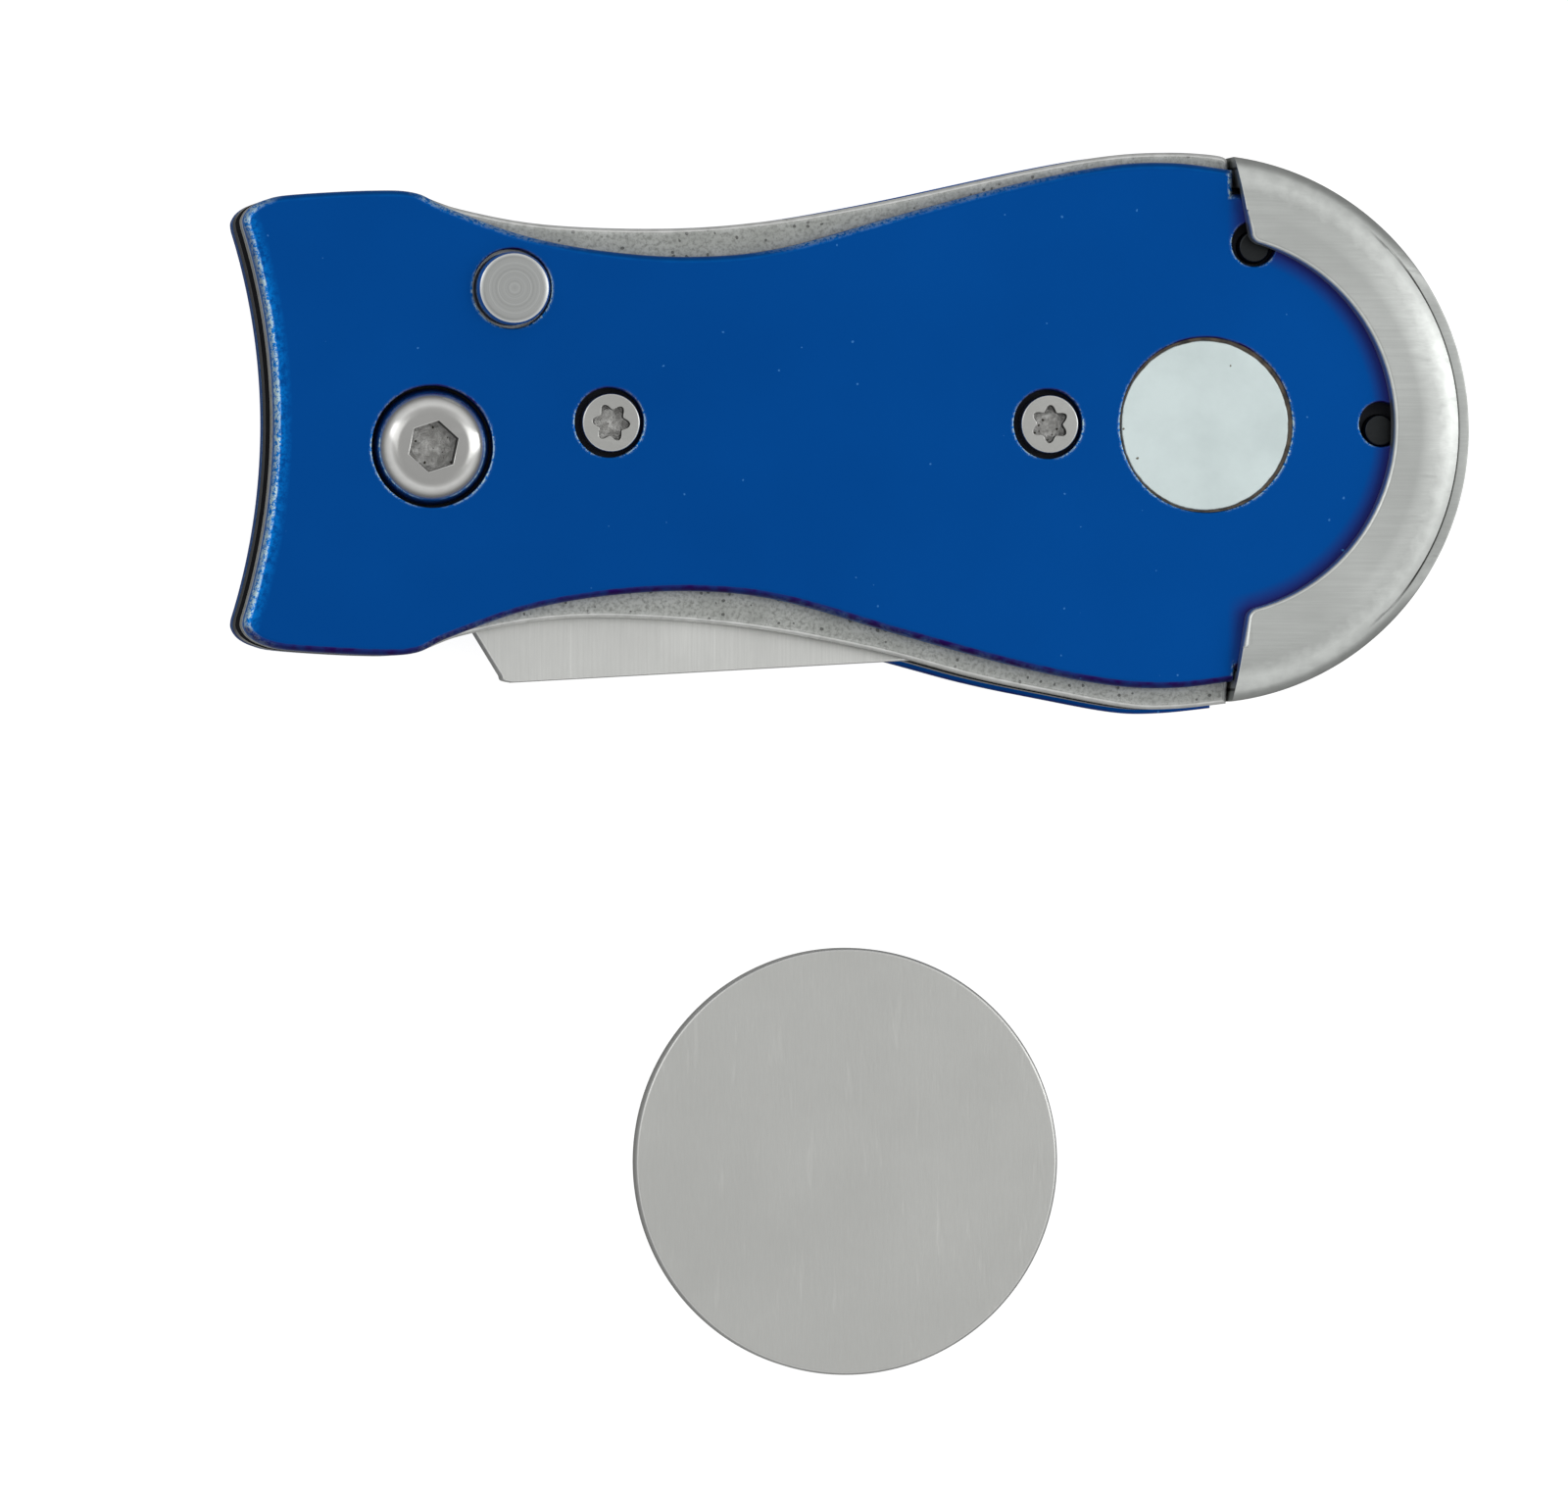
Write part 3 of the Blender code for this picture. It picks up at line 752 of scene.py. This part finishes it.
# The guard's shoulder is painted lighter as a highlight, and its crease darker as shade.
guard_steel = make_steel("guard_steel", (0.6, 0.62, 0.6), 0.44, 160.0, 7000.0, rub_and_highlight=0.6, painted_shade=crease_shade)
fork_steel = make_steel("fork_steel", (0.92, 0.93, 0.9), 0.36, 220.0, 6500.0, turn=90)
marker_steel = make_steel(
    "marker_steel", (0.67, 0.675, 0.65), 0.42, 900.0, 5200.0, turn=90, stain=0.06, grain_shows=0.05)
polished_steel = make_steel(
    "polished_steel", (0.68, 0.68, 0.66), 0.24, 900.0, 2600.0, depth=0.000002, grain_shows=0.06)
screw_steel = make_steel(
    "screw_steel", (0.64, 0.645, 0.62), 0.32, 2000.0, 5000.0, depth=0.000003, grain_shows=0.1)
spring_steel = make_steel("spring_steel", (0.6, 0.6, 0.58), 0.28, 1200.0, 4000.0)
bronze = make_steel("bronze_washer", (0.72, 0.5, 0.24), 0.35, 600.0, 5000.0)
# Near-black steel for the guard pins, and painted shade on the walls of the sockets.
dark_steel = make_steel("blackened_steel", (0.035, 0.038, 0.04), 0.42, 1500.0, 4000.0, rub_and_highlight=0.5)
button_steel = make_turned("turned_steel", (0.56, 0.575, 0.565), 0.36, BUTTON, 0.17, 0.000008)
print("finishes:", len(bpy.data.materials))

# %% [markdown]
# ## The outlines of the handle
# The covers, the casting and the back cover share the tail on the left: a shallow hollow arc between two
# rounded corners. To its right each has its own edge, because the casting is wider than the cover at the
# waist. A few points carry each edge and the spline does the rest.

# %% The edges, in millimetres
TAIL_EDGE = [
    (-35.52, 11.25), (-35.55, 11.8), (-35.15, 12.4), (-34.3, 12.85), (-32.8, 13.15), (-28.2, 13.42),
    (-25.6, 13.3)]
COVER_EDGE = smooth(TAIL_EDGE + [
    (-23.6, 12.4), (-19.0, 10.8), (-14.0, 9.93), (-9.0, 9.7), (-4.1, 10.25),
    (2.8, 12.2), (9.7, 14.05), (15.0, 15.1), (18.8, 15.3), (22.38, 14.9)])
CASTING_EDGE = smooth(TAIL_EDGE + [
    (-22.8, 12.4), (-17.9, 11.55), (-11.0, 11.35), (-5.0, 11.8), (1.6, 12.95),
    (10.8, 14.95), (15.4, 15.75), (19.0, 15.95), (21.7, 15.78), (22.3, 15.45)])
LOWER_EDGE = smooth(flipped(TAIL_EDGE) + [
    (-22.8, -12.3), (-18.0, -11.4), (-13.0, -11.25), (-6.0, -11.8), (1.2, -13.1),
    (7.4, -14.7), (12.0, -15.65), (16.5, -16.45), (19.2, -16.5), (22.18, -16.2)])
half = math.degrees(math.asin(TAIL_HALF_HEIGHT / TAIL_CURVE))
TAIL_END = arc(TAIL_MIDDLE, TAIL_CURVE, half, -half, 40)
print("points along the cover's edge:", len(COVER_EDGE))


# %% [markdown]
# ## Front cover
# The cover is stamped from sheet aluminium, drilled and then bevelled all round before it is anodised. The
# outline is extruded, each hole is a cylinder taken away, and then the rims are rounded in two goes: a wide
# bevel on the outline and a narrow one on the holes.

# %% Model the front cover
outline = (flipped(COVER_EDGE) + arc(NOSE_MIDDLE, NOSE_RADIUS, -80.5, 74, 90) + [(22.38, 13.5)]
           + COVER_EDGE[::-1] + TAIL_END[1:-1])
cover = plate("front_cover_shell", outline, COVER_LOW, COVER_TOP)
holes = [(PIVOT, 3.53), (BUTTON, 2.3), (MAGNET_HOLE, 5.1)]
holes += [(place, 2.02) for place in SCREW_HOLES] + [(place, 1.31) for place in PIN_HOLES]
for place, radius in holes:
    drill(cover, place, radius, COVER_LOW - 1, COVER_TOP + 1, 128)


def on_hole(point):
    return any(abs(math.dist(point.to_2d(), place) - radius) < 0.06 for place, radius in holes)


on_top = at(COVER_TOP)
round_rims(cover, lambda p: on_top(p) and not on_hole(p), 0.5)
round_rims(cover, lambda p: on_top(p) and on_hole(p), 0.12)
settle(cover, "handle", "front_cover", blue)

# %% [markdown]
# ## Back cover
# The back cover is a little wider than the casting, so a blue line shows below it. Its right end is a round
# tongue inside the guard's back flange.

# %% Model the back cover


def widened(edge, by):
    return [(x, y + math.copysign(by, y) * min(1, max(0, (x + 24) / 10))) for x, y in edge]


low, high = corners("back_cover")
outline = (widened(LOWER_EDGE, 0.25) + arc(MAGNET, 8.95, -80, 80, 60)
           + widened(CASTING_EDGE, 0.1)[::-1] + TAIL_END[1:-1])
cover = plate("back_cover_shell", outline, low.z, high.z)
holes = [(PIVOT, 3.15)] + [(place, 2.02) for place in SCREWS]
for place, radius in holes:
    drill(cover, place, radius, low.z - 1, high.z + 1, 128)
round_rims(cover, at(low.z), 0.25)
settle(cover, "handle", "back_cover", shaded_blue)

# %% [markdown]
# ## Casting
# The casting is the tool's frame: a front and a back plate joined by a spine along the top and a solid nose.
# It could be those four blocks joined up. It is cut from one block instead, as its mould leaves it: the slot
# is the room that the fork needs to swing, and all outside that is metal.

# %% The room that the fork needs
FORK_SHOULDER = [(0.78, -7.38), (4.38, -13.23)]
TANG_RADIUS = 7.4


def slot_outline():
    stop = turned_by(FORK_SHOULDER + [(8.0, -19.1)], -176.5)
    return shifted([
        stop[2], stop[1], *arc((0, 0), TANG_RADIUS + 0.6, 98, 50, 24), (10.0, 11.35), (46.5, 3.85),
        *arc((0, 0), 47.7, 4.4, -24, 30), (45, -40), (-40, -40), (-40, 25)], PIVOT)


# %% Model the casting
outline = (LOWER_EDGE + arc(NOSE_MIDDLE, NOSE_RADIUS, -81, 81, 90) + CASTING_EDGE[::-1]
           + TAIL_END[1:-1])
casting = plate("casting_frame", outline, CASTING_LOW, CASTING_TOP)
round_rims(casting, at(CASTING_LOW, CASTING_TOP), 0.32, 4)
cut(casting, plate("slot", slot_outline(), SLOT_LOW, SLOT_HIGH))
under, over = CASTING_LOW - 1, CASTING_TOP + 1
drill(casting, PIVOT, 2.25, under, over)
drill(casting, BUTTON, 2.85, 5.45, over)
drill(casting, BUTTON, 1.65, 1.75, 5.6)
drill(casting, MAGNET, 5.0, 6.1, over)
for place, radius in [(place, 0.95) for place in SCREWS] + [(place, 0.98) for place in PINS]:
    drill(casting, place, radius, under, over, 48)
well = rod(PIVOT, 6.85, 2.1, 3.6, 128)
drill(well, PIVOT, 4.3, 1, 5)
cut(casting, well)
slit = turned_by([(6.0, -0.5), (8.6, -0.5), (8.6, 0.5), (6.0, 0.5)], 150)
cut(casting, plate("slit", shifted(slit, PIVOT), 2.12, 3.58))
settle(casting, "handle", "casting", zinc)

# %% [markdown]
# ## Fork
# The fork is laser-cut plate: a broad shouldered base round the pivot, narrowing to two tines. Closed, it
# lies a few degrees below the handle's axis, so that one shoulder stands out below for the thumb. The shape
# is drawn along its own axis and then turned.

# %% Model the fork


def fork_outline():
    tine_end, tip, upper_corner = 44.6, 1.15, (9.3, 11.7)
    lower_end = -13.14 + 0.1444 * (tine_end - 6.24)
    upper_end = upper_corner[1] - 0.117 * (tine_end - upper_corner[0])
    blade = turned_by([
        (5.6, -13.1), (6.24, -13.14), *arc((tine_end, lower_end + tip), tip, -82, 60, 14),
        (27.0, -4.6), *arc((27.0, 0), 4.6, 270, 90, 40)[1:],
        *arc((tine_end, upper_end - tip), tip, -60, 82, 14),
        *arc((upper_corner[0] + 0.55, upper_corner[1] - 0.75), 0.7, 84, 140, 8)], -5)
    corner = smooth([FORK_SHOULDER[1], (4.5, -13.5), *blade[1:2]], 5)
    return FORK_SHOULDER[:1] + corner + blade[2:] + arc((0, 0), TANG_RADIUS, 46.5, 276, 110)[:-1]


low, high = corners("fork")
fork = plate("fork_blade", shifted(fork_outline(), PIVOT), low.z, high.z)
drill(fork, PIVOT, 2.27, low.z - 1, high.z + 1)
leg = shifted(arc((0, 0), 5.0, 200, 200, 1), PIVOT)[0]
drill(fork, leg, 0.45, low.z - 1, 4.7, 32)
round_rims(fork, at(low.z, high.z), 0.14)
settle(fork, "fork", "fork", fork_steel)

# %% [markdown]
# ## End guard
# The guard is a steel channel bent round the nose. Its section is the same all the way round, so it is spun:
# a mesh circle is pulled into the section and turned about the guard's middle. The outermost ring is pressed
# down at the far right, which leaves a crease, and the flanges are trimmed to their inner arcs with one
# cutter each. The spin leaves the flat faces in slices, and a bevel along sliced rims crosses itself, so the
# slices are joined up before the rims are rounded.

# %% The guard's section
CREASE = ((15.28, 0.3), (15.36, 0.325), (15.45, 0.286), (15.85, 0.08))  # radius and how far it sinks


def shoulder_height(radius):
    """How high the guard's front is at a radius: flat, then a slow roll-over towards the rim."""
    roll = 5.23
    return GUARD_TOP - roll + math.sqrt(roll ** 2 - max(0, radius - GUARD_FLAT) ** 2)


def guard_section():
    """The section as (radius, height), from the inner edge of the front flange round to the inner front."""
    cavity, inner, outer = NOSE_RADIUS + GAP, 6.0, 16.0
    radii = [GUARD_FLAT + 2.35 * i / 20 for i in range(21)] + [radius for radius, sink in CREASE]
    return [
        (inner, GUARD_TOP), *[(r, shoulder_height(r)) for r in radii], (outer - 0.03, 8.34), (outer, 8.12),
        (outer, 1.0), *arc((15.3, 0.7), 0.7, 350, 272, 8), (inner, 0.0), (inner, BACK_TOP),
        (cavity, BACK_TOP), (cavity, COVER_TOP + GAP), (inner, COVER_TOP + GAP)]


def press_crease(guard):
    """Lowers the outermost ring, most at the far right and not at all from 50 degrees round."""
    for vertex in guard.data.vertices:
        away = vertex.co.to_2d() - Vector(GUARD_MIDDLE)
        turn = math.degrees(abs(math.atan2(away.y, away.x)))
        fade = min(1, max(0, (50 - turn) / 25))
        for radius, sink in CREASE:
            if abs(away.length - radius) < 0.01 and vertex.co.z > 8:
                vertex.co.z -= sink * fade * fade * (3 - 2 * fade)


# %% Model the guard
section = guard_section()
bpy.ops.object.select_all(action="DESELECT")
bpy.ops.mesh.primitive_circle_add(vertices=len(section), radius=5, fill_type="NOTHING")
guard = bpy.context.object
guard.name = guard.data.name = "guard_horseshoe"
for vertex, (radius, height) in zip(guard.data.vertices, section):
    vertex.co = (GUARD_MIDDLE[0], GUARD_MIDDLE[1] - radius, height)
edit(guard, "VERT")
bpy.ops.mesh.select_all(action="SELECT")
bpy.ops.mesh.spin(steps=240, angle=math.radians(360), center=(*GUARD_MIDDLE, 0), axis=(0, 0, 1))
bpy.ops.mesh.select_all(action="SELECT")
bpy.ops.mesh.remove_doubles(threshold=0.0005)
face_outwards()
press_crease(guard)
print("spun faces:", len(guard.data.polygons))

# %% Trim the guard
far, split = 30, 4.5
front = [
    (22.35, far), (22.4, 15.6), *arc((23.94, 11.295), 0.75, 191, 254, 10),
    *arc(MAGNET, 11.0, 74, -75, 120)[1:], *arc((23.75, -11.35), 0.75, 105, 172, 10)[1:],
    (22.25, -16.2), (22.2, -far), (-far, -far), (-far, far)]
back = [
    (22.3, far), (22.3, 9.2), *arc(MAGNET, 9.05, 79, -79, 90), (22.3, -9.2), (22.3, -far),
    (-far, -far), (-far, far)]
cut(guard, plate("front_trim", front, split, GUARD_TOP + 3))
cut(guard, plate("back_trim", back, -3, split + 0.1))
for place in PINS:
    drill(guard, place, 0.98, 0.5, 4, 48)
print("after trimming:", len(guard.data.polygons))

# %% Round the guard's inner rims
pick_faces(guard, lambda c, n: abs(n.z) > 0.99999 or abs(n.z) < 0.001)
bpy.ops.mesh.dissolve_limited(angle_limit=math.radians(0.5))
leave_edit()


def rim(point):
    out = math.dist(point.to_2d(), GUARD_MIDDLE)
    behind = point.z < 0.05 and out < 15.2
    before = point.z > GUARD_TOP - 0.01 and out < GUARD_FLAT
    return point.x > 22.2 and (behind or before)


round_rims(guard, rim, 0.3, 4, 60)
settle(guard, "handle", "end_guard", guard_steel)

# %% [markdown]
# ## Pivot screw
# A button-head screw: a low dome with a hexagon socket. A sphere cut in half would be too tall. Instead the
# top rim of a short cylinder gets a bevel nearly as wide as the head is high, which leaves a small flat round
# the socket, as on the real screw. The head is then widened, so that the dome all but fills its hole.

# %% A socket's two finishes


def dress_socket(screw, place, reach, face, depth):
    """Gives the floor of a socket its rough finish and paints its walls near black as shade."""
    def inside(centre):
        return math.dist(centre.to_2d(), place) < reach and 0.06 < abs(centre.z - face) < depth + 0.05

    paint(screw, socket_floor, lambda c, n: inside(c) and abs(n.z) > 0.5)
    paint(screw, dark_steel, lambda c, n: inside(c) and abs(n.z) < 0.5)


# %% Model the pivot screw
low, high = corners("pivot_screw")
slim, wide, shank, across_flats = radius_of("pivot_screw"), 3.38, 1.4, 2.6
head_low, socket_low = CASTING_TOP + GAP, 7.7
screw = rod(PIVOT, slim, head_low, high.z, 128, "pivot_screw_head")
round_rims(screw, at(high.z), 1.5, 14)
edit(screw, "VERT")
bpy.ops.mesh.select_all(action="SELECT")
widen(wide / slim, PIVOT)
leave_edit()
hexagon = arc((0, 0), across_flats / math.sqrt(3), 18, 318, 5)
cut(screw, plate("socket", shifted(hexagon, PIVOT), socket_low, high.z + 1))
round_rims(screw, at(high.z), 0.07)
pick_faces(screw, lambda c, n: n.z < -0.9 and c.z < head_low + 0.01)
pull(low.z - head_low, wide - shank)
leave_edit()
settle(screw, "handle", "pivot_screw", polished_steel)
dress_socket(screw, PIVOT, 1.6, high.z, high.z - socket_low)

# %% [markdown]
# ## Release button
# The button is a turned cap on a stem, with a collar that the cover holds down. It starts as the cap, a short
# cylinder. Its underside is grown outwards for the collar, inwards for the stem, and last hollowed for the
# spring. The bright chamfer is a bevel of two segments.

# %% Model the release button
high = corners("release_button")[1]
cap, collar, stem, bore = 2.12, radius_of("release_button"), 1.5, 1.05
button = rod(BUTTON, cap, COVER_LOW - GAP, high.z, 128, "release_button_cap")
pick_faces(button, lambda c, n: n.z < -0.9)
pull(0)
widen(collar / cap, BUTTON)
pull(-0.4)
pull(-3.6, collar - stem)
pull(3.05, stem - bore)
face_outwards()
round_rims(button, at(high.z), 0.42, 2)
settle(button, "button", "release_button", button_steel)

# %% [markdown]
# ## Cover screws
# Four small screws hold the covers. Their heads have a six-lobed socket, whose outline is a circle that
# swells six times. One function makes all four, each with its own mesh.

# %% Model the cover screws


def lobed(turn, radius=0.94, swell=0.17, steps=96):
    """A circle that swells six times, turned by so many degrees."""
    turns = [2 * math.pi * i / steps for i in range(steps)]
    waves = [(radius + swell * math.cos(6 * t), t + math.radians(turn)) for t in turns]
    return [(out * math.cos(t), out * math.sin(t)) for out, t in waves]


def make_cover_screw(side, index, turn):
    node = f"{side}_screw_{index}"
    low, high = corners(node)
    place, wide, shank, depth = middle(node).to_2d(), radius_of(node), 0.9, 0.75
    face, inner, tip, out = high.z, CASTING_TOP + GAP, low.z, 1
    if side == "back":
        face, inner, tip, out = low.z, BACK_TOP, high.z, -1
    screw = rod(place, wide, *sorted((face, inner)), name=node + "_head")
    round_rims(screw, at(face), 0.12)
    socket = sorted((face - depth * out, face + 2 * depth * out))
    cut(screw, plate("socket", shifted(lobed(turn), place), *socket))
    round_rims(screw, at(face), 0.04, 2, 60)
    pick_faces(screw, lambda c, n: abs(c.z - inner) < 0.01 and abs(n.z) > 0.9)
    pull(tip - inner, wide - shank)
    leave_edit()
    settle(screw, "handle", node, screw_steel)
    dress_socket(screw, place, 1.2, face, depth)


for side in ("front", "back"):
    for index, turn in ((1, -6), (2, 28)):
        make_cover_screw(side, index, turn)

# %% [markdown]
# ## Pivot nut
# On the back the pivot ends in a flat nut with a screwdriver slot, on a sleeve that the fork turns on.

# %% Model the pivot nut
low, high = corners("pivot_nut")
wide, sleeve, wall, thread_low = radius_of("pivot_nut"), 2.2, 0.75, 1.0
nut = rod(PIVOT, wide, low.z, BACK_TOP, 128, "pivot_nut_sleeve")
pick_faces(nut, lambda c, n: n.z > 0.9)
pull(high.z - BACK_TOP, wide - sleeve)
pull(thread_low - high.z, wall)
leave_edit()
round_rims(nut, at(low.z), 0.15)
slot = turned_by([(-2.2, -0.4), (2.2, -0.4), (2.2, 0.4), (-2.2, 0.4)], 25)
cut(nut, plate("slot", shifted(slot, PIVOT), -1, 0.6))
settle(nut, "handle", "pivot_nut", polished_steel)

# %% [markdown]
# ## Magnet and its adhesive
# The magnet is a plain disc, glued in. What makes it look real is its edge: a thin uneven line of dark
# adhesive all round. The disc and the line are separate pieces.

# %% Model the magnet


def make_disc(node, name, sides, rim, segments, body, material):
    """A plain disc of a node's place and size, with both rims rounded."""
    low, high = corners(node)
    disc = rod(middle(node), radius_of(node), low.z, high.z, sides, name)
    round_rims(disc, lambda p: True, rim, segments)
    settle(disc, body, node, material)


make_disc("magnet", "magnet_disc", 160, 0.09, 3, "handle", nickel)

# %% Model the adhesive ring
material, tree, shader = finish("old_adhesive", Metallic=0.0)
lumps = ramp(tree, noise(tree, 1500, 4), 0.35, 0.65)
brown = blend(tree, lumps, (0.02, 0.016, 0.012), (0.13, 0.1, 0.07))
dress(tree, shader, brown, ramp(tree, lumps, 0, 1, 0.5, 0.8), lumps, 0.00003)
low, high = COVER_LOW + 0.1, COVER_TOP - 0.12
ring = rod(MAGNET_HOLE, 5.09, low, high, 160, "magnet_adhesive")
drill(ring, MAGNET, 4.96, low - 1, high + 1, 160)
settle(ring, "handle", None, material)

# %% [markdown]
# ## Guard pins
# Two dark pins key the guard to the casting. Only their heads show, at the bottom of round holes, so the
# magnet's disc will do for them at another size.

# %% Model the guard pins
for pin in ("guard_pin_1", "guard_pin_2"):
    make_disc(pin, pin + "_head", 64, 0.14, 3, "handle", dark_steel)

# %% [markdown]
# ## Ball marker
# The marker is a plain coined disc with a rounded, polished rim. Its rounding is fine and its face dead flat,
# and the smooth rim line is what shows that it is a real disc.

# %% Model the ball marker
make_disc("ball_marker", "ball_marker_disc", 256, 0.22, 4, "ball_marker", marker_steel)

# %% [markdown]
# ## Hidden pieces
# The springs and washers are already the right shape in the frame and hardly show, so they stay and only
# get their finish.

# %% Finish the pieces that stay
for node, material in (("opening_spring", spring_steel), ("button_spring", spring_steel),
                       ("front_washer", bronze), ("back_washer", bronze)):
    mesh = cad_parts[node].data
    mesh.materials.clear()
    mesh.materials.append(material)
    print(node, "wears", material.name)

# %% [markdown]
# ## Stage, light and camera
# The tool lies on a white table under a soft tent. Bare metal shows what it reflects: the tent is calm grey
# straight above, for even flat faces, brighter half-way down, for a soft line on rounded edges, and dark near
# the table, so that outlines stand out. The table glows a little for the camera's own rays only, which keeps
# it white without lighting the metal from below.

# %% The table
bpy.ops.object.select_all(action="DESELECT")
bpy.ops.mesh.primitive_plane_add(size=4, location=(0, 0, -0.00005))
table = bpy.context.object
table.name = "table"
material, tree, shader = finish(
    "white_table", Metallic=0.0, Roughness=0.9, Emission_Strength=0.86, Specular_IOR_Level=0.0,
    Base_Color=(0.45, 0.45, 0.45, 1))
join(tree, (add(tree, "LightPath"), "Is Camera Ray"), (shader, "Emission Color"))
table.data.materials.append(material)

# %% The tent
world = bpy.data.worlds.new("tent")
bpy.context.scene.world = world
world.use_nodes = True
tree = world.node_tree
tree.nodes.clear()
cloth = add(tree, "ValToRGB")
join(tree, axis_of(tree, "Generated", "Z"), (cloth, "Fac"))
bands = ((0.0, 0.14), (0.2, 0.26), (0.5, 0.66), (0.75, 0.82), (0.92, 0.5), (1.0, 0.45))
for index, (height, grey) in enumerate(bands):
    stop = cloth.color_ramp.elements[index] if index < 2 else cloth.color_ramp.elements.new(height)
    stop.position = height
    stop.color = (grey, grey, grey, 1)
light = add(tree, "Background", Strength=1.0)
join(tree, (cloth, "Color"), (light, "Color"))
join(tree, (light, "Background"), (add(tree, "OutputWorld"), "Surface"))

# %% The softboxes


def make_softbox(name, direction, size, glow):
    """An area lamp half a metre from the tool, looking at it; glow is its brightness as a surface."""
    lamp = bpy.data.lights.new(name, "AREA")
    lamp.shape = "RECTANGLE"
    lamp.size, lamp.size_y = size
    lamp.energy = glow * math.pi * size[0] * size[1]
    box = bpy.data.objects.new(name, lamp)
    bpy.context.scene.collection.objects.link(box)
    box.location = 0.5 * Vector(direction).normalized()
    box.rotation_euler = box.location.to_track_quat("Z", "Y").to_euler()


make_softbox("right_box", (0.72, 0.1, 0.7), (0.16, 0.5), 1.6)
make_softbox("left_box", (-0.5, 0.25, 0.8), (0.14, 0.4), 1.0)

# %% The camera
aim = Vector((-0.00411, -0.01856, 0.0082))
distance, tilt, width = 0.8, math.radians(8.3), 0.09097
lens = bpy.data.cameras.new("camera")
lens.sensor_width = 36
lens.lens = lens.sensor_width * distance / width
lens.clip_start = 0.01
camera = bpy.data.objects.new("camera", lens)
bpy.context.scene.collection.objects.link(camera)
camera.location = aim + distance * Vector((-math.sin(tilt), 0, math.cos(tilt)))
camera.rotation_euler = (0, -tilt, 0)
bpy.context.scene.camera = camera
bpy.context.scene.view_settings.view_transform = "Standard"
print("lens", round(lens.lens, 1), "mm")
